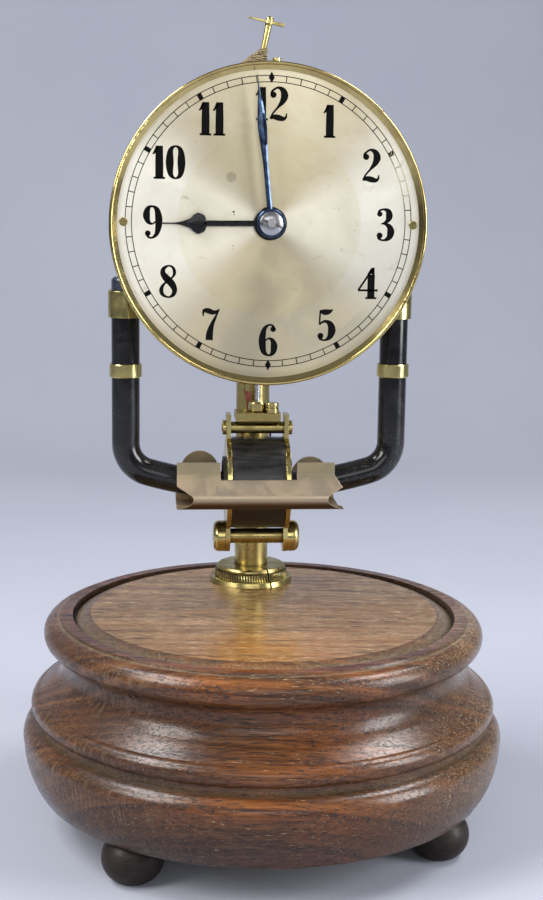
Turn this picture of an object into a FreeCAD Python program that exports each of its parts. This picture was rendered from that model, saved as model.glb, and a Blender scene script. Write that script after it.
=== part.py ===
import FreeCAD, Part
import math
import os

import Sketcher
from FreeCAD import Placement, Rotation, Vector

os.makedirs("parts", exist_ok=True)
doc = FreeCAD.newDocument("MantelClock")
sheet = doc.addObject("Spreadsheet::Sheet", "Sizes")

# Driving sizes in millimetres and degrees. The origin is the centre of the base on the table,
# +X to the right of the dial, +Y to the back, +Z up.
driving = {
    # turned base
    "footHeight": 16.2, "baseRadius": 93.4, "bottomInset": 5.6, "bandHeight": 34.5,
    "topHeight": 83.0, "topRadius": 67.5, "grooveRadius": 74.2, "grooveDepth": 3.5,
    "rimRadius": 78.8, "rimDrop": 0.4, "torusRadius": 85.4, "torusThick": 11.0,
    "waistRadius": 77.6, "waistHeight": 65.8, "ogeeRadius": 90.5, "ogeeHeight": 48.6,
    "quirkRadius": 88.5, "quirkHeight": 45.6, "quirkDrop": 3.0,
    "wellRadius": 36.0, "wellCeiling": 57.0, "nutWellRadius": 12.5, "nutWellCeiling": 66.0,
    # ball feet
    "footRadius": 11.4, "footInset": 10.4, "footTurn": 4.5, "footSpread": 47.7,
    "spigotRadius": 4.0, "spigotLength": 8.0,
    # bottom cover
    "coverRadius": 63.5, "coverThick": 2.0, "coverTurn": 25.0, "coverScrewCircle": 54.0,
    "screwRadius": 1.5, "screwHead": 3.0, "screwHeadThick": 1.6,
    # dry cell and its contacts
    "cellRadius": 16.0, "cellLength": 56.0, "cellHeight": 38.0, "capRadius": 3.0, "capLength": 2.0,
    "stripThick": 0.7, "stripWidth": 9.0, "leadRadius": 0.6, "coilLeadRadius": 0.4,
    # column and its foot
    "columnRadius": 6.9, "columnBore": 4.8, "columnBack": 47.2, "columnRise": 10.4,
    "flangeRadius": 17.4, "flangeThick": 1.9, "collarRadius": 13.7, "collarHeight": 6.9,
    "ringRadius": 15.1, "ringHeight": 3.0, "slitWidth": 0.7, "slitAngle": 22.0,
    "nutRadius": 10.0, "nutThick": 4.5,
    # magnet
    "magnetBack": 20.5, "barRadius": 5.5, "barSpread": 53.2, "bowLow": 127.9, "bendRadius": 12.0,
    "jointDrop": 57.7, "armDrop": 21.4, "ferruleWall": 0.9, "ferruleHeight": 5.3,
    "clampWall": 1.3, "clampHeight": 10.3, "clampDrop": 37.0,
    # frame behind the dial
    "frameFront": 27.6, "frameThick": 3.0, "spineHalf": 15.0, "spineDrop": 42.6,
    "headHalf": 11.0, "headDrop": 11.6, "headRise": 7.4,
    "plateFront": 3.0, "plateThick": 1.5, "plateGap": 8.5, "plateRadius": 38.0,
    "pillarRadius": 3.0, "pillarReach": 24.0, "spacerRadius": 3.6,
    # dial and bezel; both hang a little lower than the hands' axis
    "dialHeight": 232.6, "dialDrop": 0.9, "dialFront": -2.5, "dialThick": 1.0, "dialRadius": 57.3,
    "bezelRadius": 59.9, "bezelLip": 0.4, "bezelBead": 1.35, "bezelRise": 1.65, "bezelDepth": 6.0,
    "dialScrewReach": 54.5,
    # hands
    "handThick": 0.6, "handClear": 2.4, "handStep": 1.2, "bossStep": 0.5,
    "hourLength": 40.5, "minuteLength": 54.6, "hourTurn": 269.5, "minuteTurn": 354.0,
    "hourStem": 1.05, "hourSpade": 3.85, "minuteStem": 0.95, "minuteSpear": 1.7, "needleHalf": 0.4,
    "hourBoss": 6.2, "minuteBoss": 5.4, "pipeRadius": 3.4,
    "handNutRadius": 4.35, "handNutThick": 1.7, "handNutTurn": 21.0,
    # wheels
    "motionGap": 12.0, "trainGap": 19.8, "ratchetRadius": 8.6, "arborRadius": 1.5, "pivotRadius": 1.0,
    "runGap": 0.05,
    # suspension
    "pivotRise": 55.4, "cockThick": 4.4, "cockHalf": 7.5, "cockFront": 14.5,
    "winderLean": 11.4, "winderRadius": 1.1, "winderFoot": -1.6, "winderLength": 15.95,
    "winderCap": 1.5, "winderBarLeft": 8.1, "winderBarRight": 5.8,
    "heapTurns": 5.5, "heapRadius": 5.8, "heapThread": 0.5, "heapHeight": 5.4,
    # pendulum; the bob hangs turned a little on its silk
    "rodShift": -1.15, "rodRadius": 1.0, "rodTopRise": 47.4, "silkRadius": 0.4, "bobTurn": 2.4,
    "pinDrop": 10.6, "pinRadius": 0.8, "forkRise": 21.4, "forkThick": 1.4,
    "forkArmHalf": 1.5, "forkWall": 1.2, "forkBoss": 3.2, "forkTipReach": 4.5,
    # coil, hung from its two cross rods
    "coilLift": 1.9, "coilHalf": 12.4, "sideThick": 1.8, "sideRadius": 18.7, "wrapRadius": 18.3,
    "wrapThick": 0.8, "boreRadius": 9.2, "bobbinWall": 1.2, "bobbinEnd": 1.2,
    "topRodRise": 3.8, "topRodRadius": 2.35, "topRodEnd": 1.6, "lugRise": 5.7, "lugHalf": 4.0,
    "topNutRadius": 2.9, "topNutThick": 1.4,
    "lowRodDrop": 3.7, "lowRodRadius": 3.0, "lowRodEnd": 2.0, "lowLugRadius": 6.3,
    "knobRadius": 6.2, "knobWidth": 4.8, "knobRound": 2.4,
    "bridgeHalf": 8.9, "bridgeThick": 4.15, "bridgeDepth": 12.0, "bridgeRound": 1.5,
    "ratingRadius": 3.6, "ratingHeight": 4.0, "terminalRadius": 2.7, "terminalStem": 1.2,
    "terminalShift": 5.6, "terminalForward": 3.0, "terminalHeight": 4.0,
    "flagThick": 0.8, "coilLeadShift": 5.6, "coilLeadBack": 3.6,
    # guard round the magnet bar
    "guardSheet": 1.0, "guardHalf": 32.2, "guardGap": 1.3, "guardRise": 13.4, "guardSlotDepth": 6.6,
    "guardSlotLeft": 15.4, "guardSlotRight": 14.2, "guardEarRight": 28.8, "guardEarDrop": 9.6,
    "guardKink": 4.6, "noseRadius": 4.3, "noseForward": 1.2, "noseDrop": 13.65, "lipGap": 0.6,
    "lipBend": 6.5, "wingGap": 3.0, "guardWingReach": 22.5, "guardWingRadius": 7.5,
    "wingDropLeft": 0.3, "wingDropRight": 2.7, "guardNotch": 5.7, "notchDrop": 12.1, "notchSlope": 0.6,
}


class Size:
    """A number together with the sheet formula that it comes from."""

    def __init__(self, number, formula=None):
        self.number = float(number)
        self.formula = formula or repr(float(number))

    def __add__(self, other):
        return combine(self, "+", other)

    def __radd__(self, other):
        return combine(other, "+", self)

    def __sub__(self, other):
        return combine(self, "-", other)

    def __rsub__(self, other):
        return combine(other, "-", self)

    def __mul__(self, other):
        return combine(self, "*", other)

    def __rmul__(self, other):
        return combine(other, "*", self)

    def __truediv__(self, other):
        return combine(self, "/", other)

    def __neg__(self):
        return combine(0, "-", self)


def sized(value):
    return value if isinstance(value, Size) else Size(value)


def combine(left, sign, right):
    left, right = sized(left), sized(right)
    results = {"+": left.number + right.number, "-": left.number - right.number,
               "*": left.number * right.number, "/": left.number / (right.number or 1)}
    return Size(results[sign], f"({left.formula} {sign} {right.formula})")


def root(value):
    return Size(math.sqrt(value.number), f"sqrt({value.formula})")


def sine(angle):
    return Size(math.sin(math.radians(angle.number)), f"sin({angle.formula})")


def cosine(angle):
    return Size(math.cos(math.radians(angle.number)), f"cos({angle.formula})")


class Sizes:
    """The named sizes of the sheet."""


size = Sizes()
for row, (alias, number) in enumerate(driving.items(), start=1):
    sheet.set(f"A{row}", alias)
    sheet.set(f"B{row}", str(number))
    sheet.setAlias(f"B{row}", alias)
    setattr(size, alias, Size(number, f"Sizes.{alias}"))
doc.recompute()

# what stands above the bow keeps its height from the hands' axis
for height, rise in {
        "columnTop": size.columnRise, "headLow": -size.headDrop, "headHigh": size.headRise,
        "spineLow": -size.spineDrop, "clampLow": -size.clampDrop, "jointHeight": -size.jointDrop,
        "armTop": -size.armDrop, "pinHeight": -size.pinDrop, "forkHeight": size.forkRise,
        "rodTop": size.rodTopRise, "pivotHeight": size.pivotRise}.items():
    setattr(size, height, size.dialHeight + rise)

nodes = []
turns = {"z": Rotation(), "x": Rotation(Vector(0, 1, 0), 90), "y": Rotation(Vector(1, 0, 0), -90),
         "-y": Rotation(Vector(1, 0, 0), 90), "-x": Rotation(Vector(0, 1, 0), -90)}


# Helpers that make bound objects

def bind(item, path, value):
    value = sized(value)
    if "Sizes." in value.formula:
        item.setExpression(path, value.formula)
    elif path.startswith("Placement.Base."):
        placement = item.Placement
        setattr(placement.Base, path[-1], value.number)
        item.Placement = placement
    else:
        setattr(item, path, value.number)


def place(item, at, rotation=None):
    item.Placement = Placement(Vector(*[sized(value).number for value in at]), rotation or Rotation())
    for letter, value in zip("xyz", at):
        bind(item, "Placement.Base." + letter, value)
    return item


def node(item, label):
    item.Label = label
    nodes.append(item)
    return item


def cylinder(name, radius, length, at, along="z"):
    item = doc.addObject("Part::Cylinder", name)
    bind(item, "Radius", radius)
    bind(item, "Height", length)
    return place(item, at, turns[along])


def block(name, across, deep, high):
    item = doc.addObject("Part::Box", name)
    for path, (low, top) in zip(("Length", "Width", "Height"), (across, deep, high)):
        bind(item, path, sized(top) - low)
    return place(item, (across[0], deep[0], high[0]))


def fuse(name, pieces):
    item = doc.addObject("Part::MultiFuse", name)
    item.Shapes = pieces
    item.Refine = True
    return item


def group(name, pieces):
    item = doc.addObject("Part::Compound", name)
    item.Links = pieces
    return item


def cut(name, base, tools):
    item = doc.addObject("Part::Cut", name)
    item.Base = base
    item.Tool = tools[0] if len(tools) == 1 else group(name + "_tools", tools)
    return item


def solid(name, shape):
    item = doc.addObject("Part::Feature", name)
    item.Shape = shape
    return item


def circle_through(start, middle, end):
    (ax, ay), (bx, by), (cx, cy) = [(sized(u).number, sized(v).number) for u, v in (start, middle, end)]
    double = 2 * (ax * (by - cy) + bx * (cy - ay) + cx * (ay - by))
    squares = [x * x + y * y for x, y in ((ax, ay), (bx, by), (cx, cy))]
    x = (squares[0] * (by - cy) + squares[1] * (cy - ay) + squares[2] * (ay - by)) / double
    y = (squares[0] * (cx - bx) + squares[1] * (ax - cx) + squares[2] * (bx - ax)) / double
    return x, y, math.hypot(ax - x, ay - y), double > 0


def hold_point(sketch, geometry, position, point):
    for kind, axis, value in (("DistanceX", -2, point[0]), ("DistanceY", -1, point[1])):
        value = sized(value)
        if value.number == 0 and "Sizes." not in value.formula:
            sketch.addConstraint(Sketcher.Constraint("PointOnObject", geometry, position, axis))
            continue
        index = sketch.addConstraint(
            Sketcher.Constraint(kind, -1, 1, geometry, position, value.number))
        if "Sizes." in value.formula:
            sketch.setExpression(f"Constraints[{index}]", value.formula)


def draw(sketch, outline, closed=True):
    """Draws lines and arcs: a corner is (u, v), and an arc to a corner is (middle, corner)."""
    corners = list(outline) + ([outline[0]] if closed else [])
    start, last = corners[0], None
    first = None
    for step in corners[1:]:
        middle, end = step if isinstance(step[0], tuple) else (None, step)
        flat = [Vector(sized(point[0]).number, sized(point[1]).number, 0) for point in (start, end)]
        if middle:
            x, y, radius, leftward = circle_through(start, middle, end)
            angles = [math.atan2(point.y - y, point.x - x) for point in flat]
            ordered = angles if leftward else angles[::-1]
            ring = Part.Circle(Vector(x, y, 0), Vector(0, 0, 1), radius)
            index = sketch.addGeometry(Part.ArcOfCircle(ring, ordered[0], ordered[1]), False)
            ends = (1, 2) if leftward else (2, 1)
            dot = sketch.addGeometry(
                Part.Point(Vector(sized(middle[0]).number, sized(middle[1]).number, 0)), True)
            hold_point(sketch, dot, 1, middle)
            sketch.addConstraint(Sketcher.Constraint("PointOnObject", dot, 1, index))
        else:
            index = sketch.addGeometry(Part.LineSegment(*flat), False)
            ends = (1, 2)
        if last is None:
            first = (index, ends[0])
        else:
            sketch.addConstraint(Sketcher.Constraint("Coincident", last[0], last[1], index, ends[0]))
        hold_point(sketch, index, ends[0], start)
        last, start = (index, ends[1]), end
    if closed:
        sketch.addConstraint(Sketcher.Constraint("Coincident", last[0], last[1], first[0], first[1]))
    else:
        hold_point(sketch, last[0], last[1], start)


def draw_hole(sketch, radius, at):
    spot = Vector(sized(at[0]).number, sized(at[1]).number, 0)
    index = sketch.addGeometry(Part.Circle(spot, Vector(0, 0, 1), sized(radius).number), False)
    hold_point(sketch, index, 3, at)
    held = sketch.addConstraint(Sketcher.Constraint("Radius", index, sized(radius).number))
    if "Sizes." in sized(radius).formula:
        sketch.setExpression(f"Constraints[{held}]", radius.formula)


def new_sketch(body, name, plane):
    sketch = body.newObject("Sketcher::SketchObject", name)
    face = [item for item in body.Origin.OriginFeatures if item.Role == plane][0]
    sketch.AttachmentSupport = [(face, "")]
    sketch.MapMode = "FlatFace"
    return sketch


def lathe(name, profile, at=(0, 0, 0), along="z"):
    """Turns a profile of (radius, height) corners round its height axis."""
    body = doc.addObject("PartDesign::Body", name)
    sketch = new_sketch(body, name + "_profile", "XZ_Plane")
    draw(sketch, profile)
    turned = body.newObject("PartDesign::Revolution", name + "_turned")
    turned.Profile = sketch
    turned.ReferenceAxis = (sketch, ["V_Axis"])
    turned.Angle = 360
    return place(body, at, turns[along])


def plate(name, outline, thick, at=(0, 0, 0), plane="XZ_Plane", holes=()):
    """Pads a flat outline; one drawn on XZ grows towards +Y, on YZ towards +X, on XY towards +Z."""
    body = doc.addObject("PartDesign::Body", name)
    sketch = new_sketch(body, name + "_outline", plane)
    draw(sketch, outline)
    for radius, spot in holes:
        draw_hole(sketch, radius, spot)
    pad = body.newObject("PartDesign::Pad", name + "_pad")
    pad.Profile = sketch
    bind(pad, "Length", thick)
    pad.Reversed = plane == "XZ_Plane"
    return place(body, at)


def disc(name, radius, thick, at, along, holes=()):
    """A round plate with through holes given as (radius, u, v) across its own face."""
    base = cylinder(name + "_blank", radius, thick, at, along)
    if not holes:
        return base
    return cut(name, base, holes)


def through(name, radius, at, reach, along="y"):
    """A drill that runs both ways from a point."""
    back = {"y": (0, reach, 0), "z": (0, 0, reach), "x": (reach, 0, 0)}[along]
    return cylinder(name, radius, sized(reach) * 2, [sized(a) - b for a, b in zip(at, back)], along)


# Turned base, feet and cover

def make_base():
    s = size
    rim_high = s.topHeight - s.rimDrop
    torus_middle = rim_high - s.torusThick * 0.5 - 0.9
    torus_edge = s.torusRadius - s.torusThick * 0.5
    profile = [
        (0, s.footHeight), (0, s.topHeight), (s.topRadius, s.topHeight),
        ((s.topRadius + 3.0, s.topHeight - 0.9), (s.grooveRadius, s.topHeight - s.grooveDepth)),
        (s.grooveRadius + 0.2, rim_high), (s.rimRadius, rim_high), (s.rimRadius + 0.3, rim_high - 0.9),
        (torus_edge, torus_middle + s.torusThick * 0.5),
        ((s.torusRadius, torus_middle), (torus_edge + 1.0, torus_middle - s.torusThick * 0.49)),
        (s.waistRadius + 1.2, torus_middle - s.torusThick * 0.5 - 1.0),
        ((s.waistRadius, s.waistHeight), (s.waistRadius + 3.2, s.waistHeight - 8.0)),
        (s.ogeeRadius - 3.2, s.ogeeHeight + 4.3),
        ((s.ogeeRadius, s.ogeeHeight), (s.quirkRadius + 0.5, s.quirkHeight)),
        (s.quirkRadius, s.quirkHeight - s.quirkDrop),
        ((s.baseRadius - 1.2, s.bandHeight + 6.0), (s.baseRadius, s.bandHeight)),
        ((s.baseRadius - 1.4, s.bandHeight - 9.5), (s.baseRadius - s.bottomInset, s.footHeight)),
    ]
    blank = lathe("base_blank", profile)
    recess_high = s.footHeight + s.coverThick + s.runGap * 2
    recess = cylinder("cover_recess", s.coverRadius + 0.5, recess_high - s.footHeight + 1,
                      (0, 0, s.footHeight - 1))
    well = cylinder("cell_well", s.wellRadius, s.wellCeiling - s.footHeight, (0, 0, s.footHeight))
    nut_well = cylinder("nut_well", s.nutWellRadius, s.nutWellCeiling - s.footHeight,
                        (0, s.columnBack, s.footHeight))
    bore = cylinder("column_hole", s.columnRadius + s.runGap, s.topHeight, (0, s.columnBack, s.footHeight))
    channel = block("lead_channel", (-4, 4), (s.wellRadius - 6, s.columnBack - 6),
                    (s.footHeight, s.wellCeiling))
    tools = [recess, well, nut_well, bore, channel]
    for index in range(4):
        x, y = foot_spot(index)
        tools.append(cylinder(f"foot_socket_{index}", s.spigotRadius + s.runGap,
                              s.spigotLength + 1.2, (x, y, s.footHeight - 1)))
    for index in range(3):
        x, y = cover_screw_spot(index)
        tools.append(cylinder(f"cover_screw_hole_{index}", s.screwRadius + s.runGap, 10, (x, y, s.footHeight)))
    for side in (-1, 1):
        tools.append(cylinder(f"strip_screw_hole_{side}", s.screwRadius + s.runGap, 6,
                              (side * strip_screw_reach(), 0, s.wellCeiling - 1)))
    node(cut("base", blank, tools), "turned_oak_base")


def foot_spot(index):
    """The four feet stand at a steady angle either side of the base's front and back."""
    s = size
    turn = s.footTurn + (s.footSpread, 180 - s.footSpread, 180 + s.footSpread, -s.footSpread)[index]
    circle = s.baseRadius - s.bottomInset - s.footInset
    return circle * sine(turn), -(circle * cosine(turn))


def make_feet():
    s = size
    profile = [(0, 0), (s.footRadius - 5.4, 0),
               ((s.footRadius, s.footHeight * 0.46), (s.footRadius - 3.9, s.footHeight)),
               (s.spigotRadius, s.footHeight), (s.spigotRadius, s.footHeight + s.spigotLength),
               (0, s.footHeight + s.spigotLength)]
    for index, label in enumerate(("front_right", "rear_right", "rear_left", "front_left")):
        x, y = foot_spot(index)
        node(lathe("foot_" + label + "_body", profile, (x, y, 0)), "foot_" + label)


def cover_screw_spot(index):
    turn = sized(30 + 120 * index)
    return size.coverScrewCircle * cosine(turn), size.coverScrewCircle * sine(turn)


def make_cover():
    """The cover turns about its own centre until the big ends of its slots meet the screw heads."""
    s = size
    low = s.footHeight
    blank = cylinder("cover_blank", s.coverRadius, s.coverThick, (0, 0, low))
    slots = []
    slot_half = s.screwRadius + 0.35
    for index in range(3):
        start = 30 + 120 * index
        ring = solid_ring(f"cover_slot_{index}", s.coverScrewCircle, slot_half, s.coverThick + 2, low - 1,
                          start - s.coverTurn, s.coverTurn)
        slots.append(ring)
        for end, radius in ((sized(start), slot_half), (start - s.coverTurn, s.screwHead + 0.3)):
            slots.append(cylinder(f"cover_slot_end_{index}_{'in' if radius is slot_half else 'out'}", radius,
                                  s.coverThick + 2, (s.coverScrewCircle * cosine(end),
                                                     s.coverScrewCircle * sine(end), low - 1)))
    node(cut("cover", blank, slots), "bottom_cover")
    screws = []
    for index in range(3):
        x, y = cover_screw_spot(index)
        head_high = low - s.runGap
        stem = cylinder(f"cover_screw_stem_{index}", s.screwRadius, 9 + s.runGap, (x, y, head_high))
        head = cylinder(f"cover_screw_head_{index}", s.screwHead, s.screwHeadThick,
                        (x, y, head_high - s.screwHeadThick))
        slot = block(f"cover_screw_slot_{index}", (x - 4, x + 4), (y - 0.4, y + 0.4),
                     (head_high - s.screwHeadThick - 1, head_high - s.screwHeadThick + 0.7))
        screws.append(cut(f"cover_screw_{index}", fuse(f"cover_screw_blank_{index}", [stem, head]), [slot]))
    return screws


def solid_ring(name, middle, half, thick, low, start, sweep):
    """A curved slot cutter: part of a ring, sweeping from a start angle."""
    outer = doc.addObject("Part::Cylinder", name + "_outer")
    bind(outer, "Radius", middle + half)
    bind(outer, "Height", thick)
    bind(outer, "Angle", sweep)
    place(outer, (0, 0, low))
    outer.Placement = Placement(outer.Placement.Base, Rotation(Vector(0, 0, 1), start.number))
    bind(outer, "Placement.Base.z", low)
    bind(outer, "Placement.Rotation.Angle", start)
    inner = cylinder(name + "_inner", middle - half, sized(thick) + 2, (0, 0, sized(low) - 1))
    return cut(name, outer, [inner])


# Dry cell, contact strips and leads

def strip_screw_reach():
    return size.cellLength * 0.5 + size.capLength - 5


def make_power():
    s = size
    half = s.cellLength * 0.5
    strips, screws = [], []
    can = cylinder("cell_can", s.cellRadius, s.cellLength, (-half, 0, s.cellHeight), "x")
    cap = cylinder("cell_cap", s.capRadius, s.capLength, (half, 0, s.cellHeight), "x")
    node(fuse("cell", [can, cap]), "dry_cell")
    for label, side, reach in (("positive", 1, half + s.capLength), ("negative", -1, half)):
        top = s.wellCeiling - s.stripThick
        inner, outer = side * reach, side * (reach + s.stripThick)
        tip = side * strip_tip()
        wide = (-s.stripWidth * 0.5, s.stripWidth * 0.5)
        leaf = block(label + "_leaf", (inner, outer) if side > 0 else (outer, inner), wide,
                     (s.cellHeight - 6, s.wellCeiling))
        foot = block(label + "_foot", (tip, inner) if side > 0 else (inner, tip), wide, (top, s.wellCeiling))
        hole = cylinder(label + "_hole", s.screwRadius + s.runGap, 4,
                        (side * strip_screw_reach(), 0, top - 1))
        strips.append(cut(label + "_strip", fuse(label + "_blank", [leaf, foot]), [hole]))
        screws.append(screw(label + "_screw", s.screwRadius, s.screwHead, 1.0, 5,
                            (side * strip_screw_reach(), 0, top), "z"))
    node(group("strip_pair", strips), "contact_strips")
    return screws


def strip_tip():
    return strip_screw_reach() - 8.0


def rounded_path(points, largest):
    """A wire of straight runs joined by tangent arcs, each as wide as its two runs allow."""
    edges, last, radii = [], points[0], []
    for before, corner, after in zip(points, points[1:], points[2:]):
        arriving, leaving = (corner - before).normalize(), (after - corner).normalize()
        turn = arriving.getAngle(leaving)
        shorter = min((corner - before).Length, (after - corner).Length)
        radius = min(largest, 0.45 * shorter / math.tan(turn / 2))
        reach = radius * math.tan(turn / 2)
        radii.append(round(radius, 1))
        enter, leave = corner - arriving * reach, corner + leaving * reach
        bisector = (leaving - arriving).normalize()
        middle = corner + bisector * (radius / math.cos(turn / 2) - radius)
        edges += [Part.LineSegment(last, enter).toShape(), Part.Arc(enter, middle, leave).toShape()]
        last = leave
    edges.append(Part.LineSegment(last, points[-1]).toShape())
    print("bend radii of a lead", radii)
    return Part.Wire(edges)


def tube_along(wire, radius):
    first = wire.Edges[0]
    heading = first.tangentAt(first.FirstParameter)
    ring = Part.Wire(Part.makeCircle(radius, first.valueAt(first.FirstParameter), heading))
    return wire.makePipeShell([ring], True, False)


def make_leads():
    """One lead runs to the column nut, the other up inside the column to the suspension cock."""
    s = size
    low = (s.wellCeiling - s.stripThick - s.leadRadius).number
    back, edge = s.columnBack.number, strip_tip().number
    nut_front = (s.columnBack - s.nutRadius - s.leadRadius).number
    nut_high = (s.nutWellCeiling - s.nutThick * 0.5).number
    above = s.columnTop.number + 6
    frame_back = (s.frameFront + s.frameThick + s.leadRadius).number
    cock_high = (s.pivotHeight + s.cockThick * 0.7).number
    short = [Vector(-edge - 2.5, 0, low), Vector(-edge + 3, 6, low), Vector(-3, 26, low - 4),
             Vector(0, nut_front, low - 4), Vector(0, nut_front, nut_high)]
    tall = [Vector(edge + 2.5, 0, low), Vector(edge - 3, 6, low), Vector(3.5, 30, low - 8),
            Vector(1.2, back, low - 12), Vector(1.2, back, above), Vector(4, frame_back, above + 13),
            Vector(4, frame_back, cock_high)]
    wires = [tube_along(rounded_path(path, 12), s.leadRadius.number) for path in (short, tall)]
    node(solid("leads", Part.Compound([Part.Solid(w) if w.ShapeType == "Shell" else w for w in wires])),
         "battery_leads")


# Column and its foot

def slit(name, low, high):
    """A radial saw cut through the foot, a little to the right of its front."""
    s = size
    item = doc.addObject("Part::Box", name)
    bind(item, "Length", s.flangeRadius + 2 - s.columnRadius - 1)
    bind(item, "Width", s.slitWidth)
    bind(item, "Height", sized(high) - low)
    turn = -90 + s.slitAngle
    start = s.columnRadius + 1
    item.Placement = Placement(Vector(), Rotation(Vector(0, 0, 1), turn.number))
    bind(item, "Placement.Rotation.Angle", turn)
    bind(item, "Placement.Base.x", start * cosine(turn))
    bind(item, "Placement.Base.y", s.columnBack + start * sine(turn))
    bind(item, "Placement.Base.z", low)
    return item


def make_column():
    s = size
    foot = s.nutWellCeiling - s.nutThick - 1.5
    tube = cylinder("column_blank", s.columnRadius, s.columnTop - foot, (0, s.columnBack, foot))
    bore = cylinder("column_bore", s.columnBore, s.columnTop, (0, s.columnBack, foot - 1))
    node(cut("column", tube, [bore]), "column_tube")

    top = s.topHeight
    neck = s.collarRadius - 0.9
    ring_low = top + s.flangeThick + s.runGap
    ring_high = ring_low + s.ringHeight
    high = top + s.collarHeight
    inside = s.columnRadius + s.runGap
    collar = lathe("collar_turned", [
        (inside, top), (s.flangeRadius, top), (s.flangeRadius - 0.6, top + s.flangeThick),
        (neck, top + s.flangeThick), (neck, ring_high + s.runGap), (s.collarRadius + 0.6, ring_high + s.runGap),
        ((s.collarRadius + 0.4, high - 0.5), (s.collarRadius - 0.3, high)), (inside, high)],
        (0, s.columnBack, 0))
    node(cut("collar", collar, [slit("collar_slit", top - 1, high + 1)]), "column_collar")

    ridges, deep = 84, 0.28
    corners = []
    for index in range(ridges * 2):
        reach = s.ringRadius.number - (deep if index % 2 else 0)
        angle = math.pi * index / ridges
        corners.append(Vector(reach * math.cos(angle), s.columnBack.number + reach * math.sin(angle),
                              ring_low.number))
    star = Part.Face(Part.makePolygon(corners + corners[:1])).extrude(Vector(0, 0, s.ringHeight.number))
    ring = cut("ring_bored", solid("ring_star", star),
               [cylinder("ring_bore", neck + s.runGap, s.ringHeight + 2, (0, s.columnBack, ring_low - 1)),
                slit("ring_slit", ring_low - 1, ring_high + 1)])
    node(ring, "knurled_ring")

    nut_low = s.nutWellCeiling - s.nutThick
    corners = []
    for index in range(6):
        angle = math.radians(30 + 60 * index)
        corners.append(Vector(s.nutRadius.number * math.cos(angle),
                              s.columnBack.number + s.nutRadius.number * math.sin(angle), nut_low.number))
    hexagon = Part.Face(Part.makePolygon(corners + corners[:1])).extrude(Vector(0, 0, s.nutThick.number))
    hole = cylinder("nut_hole", s.columnRadius, s.nutThick + 2, (0, s.columnBack, nut_low - 1))
    node(cut("nut", solid("nut_blank", hexagon), [hole]), "column_nut")


# Magnet

def make_magnet():
    s = size
    reach = s.pivotHeight - s.bowLow
    inner = reach - s.bendRadius
    bend_x = s.barSpread - s.bendRadius
    bend_drop = root(inner * inner - bend_x * bend_x)
    bend_z = s.pivotHeight - bend_drop
    meet_x, meet_z = bend_x * reach / inner, s.pivotHeight - bend_drop * reach / inner
    # the middle of each bend lies on the half-angle between straight out and the meeting point
    half_x = bend_x + s.bendRadius * bend_middle()[0]
    half_z = bend_z - s.bendRadius * bend_middle()[1]
    body = doc.addObject("PartDesign::Body", "bow_body")
    path = new_sketch(body, "bow_path", "XZ_Plane")
    draw(path, [
        (-s.barSpread, s.jointHeight), (-s.barSpread, bend_z),
        ((-half_x, half_z), (-meet_x, meet_z)),
        ((0, s.bowLow), (meet_x, meet_z)),
        ((half_x, half_z), (s.barSpread, bend_z)),
        (s.barSpread, s.jointHeight)], closed=False)
    section = new_sketch(body, "bow_section", "XY_Plane")
    bind(section, "AttachmentOffset.Base.z", s.jointHeight)
    draw_hole(section, s.barRadius, (-s.barSpread, 0))
    pipe = body.newObject("PartDesign::AdditivePipe", "bow_pipe")
    pipe.Profile = section
    pipe.Spine = (path, [])
    node(place(body, (0, s.magnetBack, 0)), "magnet_bow")

    ferrules, clamps = [], []
    for label, side in (("left", -1), ("right", 1)):
        x = side * s.barSpread
        arm_low = s.jointHeight
        node(lathe(f"arm_{label}_body", [(0, arm_low), (s.barRadius, arm_low), (s.barRadius, s.armTop - 1.0),
                                         (s.barRadius - 1.0, s.armTop), (0, s.armTop)],
                   (x, s.magnetBack, 0)), "magnet_arm_" + label)
        low = s.jointHeight - s.ferruleHeight * 0.5
        outside = s.barRadius + s.ferruleWall
        inside = s.barRadius
        ferrules.append(lathe(f"ferrule_{label}_body", [
            (inside, low), (outside - 0.3, low), (outside, low + 0.3), (outside, low + s.ferruleHeight - 0.3),
            (outside - 0.3, low + s.ferruleHeight), (inside, low + s.ferruleHeight)],
            (x, s.magnetBack, 0)))
        clamps.append(clamp(label, x))
    node(group("ferrule_pair", ferrules), "magnet_ferrules")
    node(group("clamp_pair", clamps), "magnet_clamps")


def bend_middle():
    """Unit vector from a bend's centre to the middle of its arc, outwards and down."""
    s = size
    reach = s.pivotHeight - s.bowLow - s.bendRadius
    bend_x = s.barSpread - s.bendRadius
    along_x, along_z = bend_x / reach, root(reach * reach - bend_x * bend_x) / reach
    longest = root((1 + along_x) * (1 + along_x) + along_z * along_z)
    return (1 + along_x) / longest, along_z / longest


def clamp(label, x):
    """A brass collar round the arm, with a lug that reaches back to the frame."""
    s = size
    outside = s.barRadius + s.clampWall
    sleeve = cylinder(f"clamp_{label}_sleeve", outside, s.clampHeight, (x, s.magnetBack, s.clampLow))
    lug = block(f"clamp_{label}_lug", (x - 4, x + 4), (s.magnetBack, s.frameFront),
                (s.clampLow, s.clampLow + s.clampHeight))
    bore = cylinder(f"clamp_{label}_bore", s.barRadius, s.clampHeight + 2,
                    (x, s.magnetBack, s.clampLow - 1))
    tap = through(f"clamp_{label}_tap", s.screwRadius * 0.8 + s.runGap,
                  (x, s.frameFront, s.clampLow + s.clampHeight * 0.5), 1.2)
    return cut(f"clamp_{label}_cut", fuse(f"clamp_{label}_blank", [sleeve, lug]), [bore, tap])


# Frame, movement plates and suspension cock

def frame_screw_spots():
    """Where a screw enters the frame from behind, with how far it reaches forward of the frame's front."""
    s = size
    clamp_z = s.clampLow + s.clampHeight * 0.5
    return [(-s.barSpread, clamp_z, sized(1.0)), (s.barSpread, clamp_z, sized(1.0))]


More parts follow.
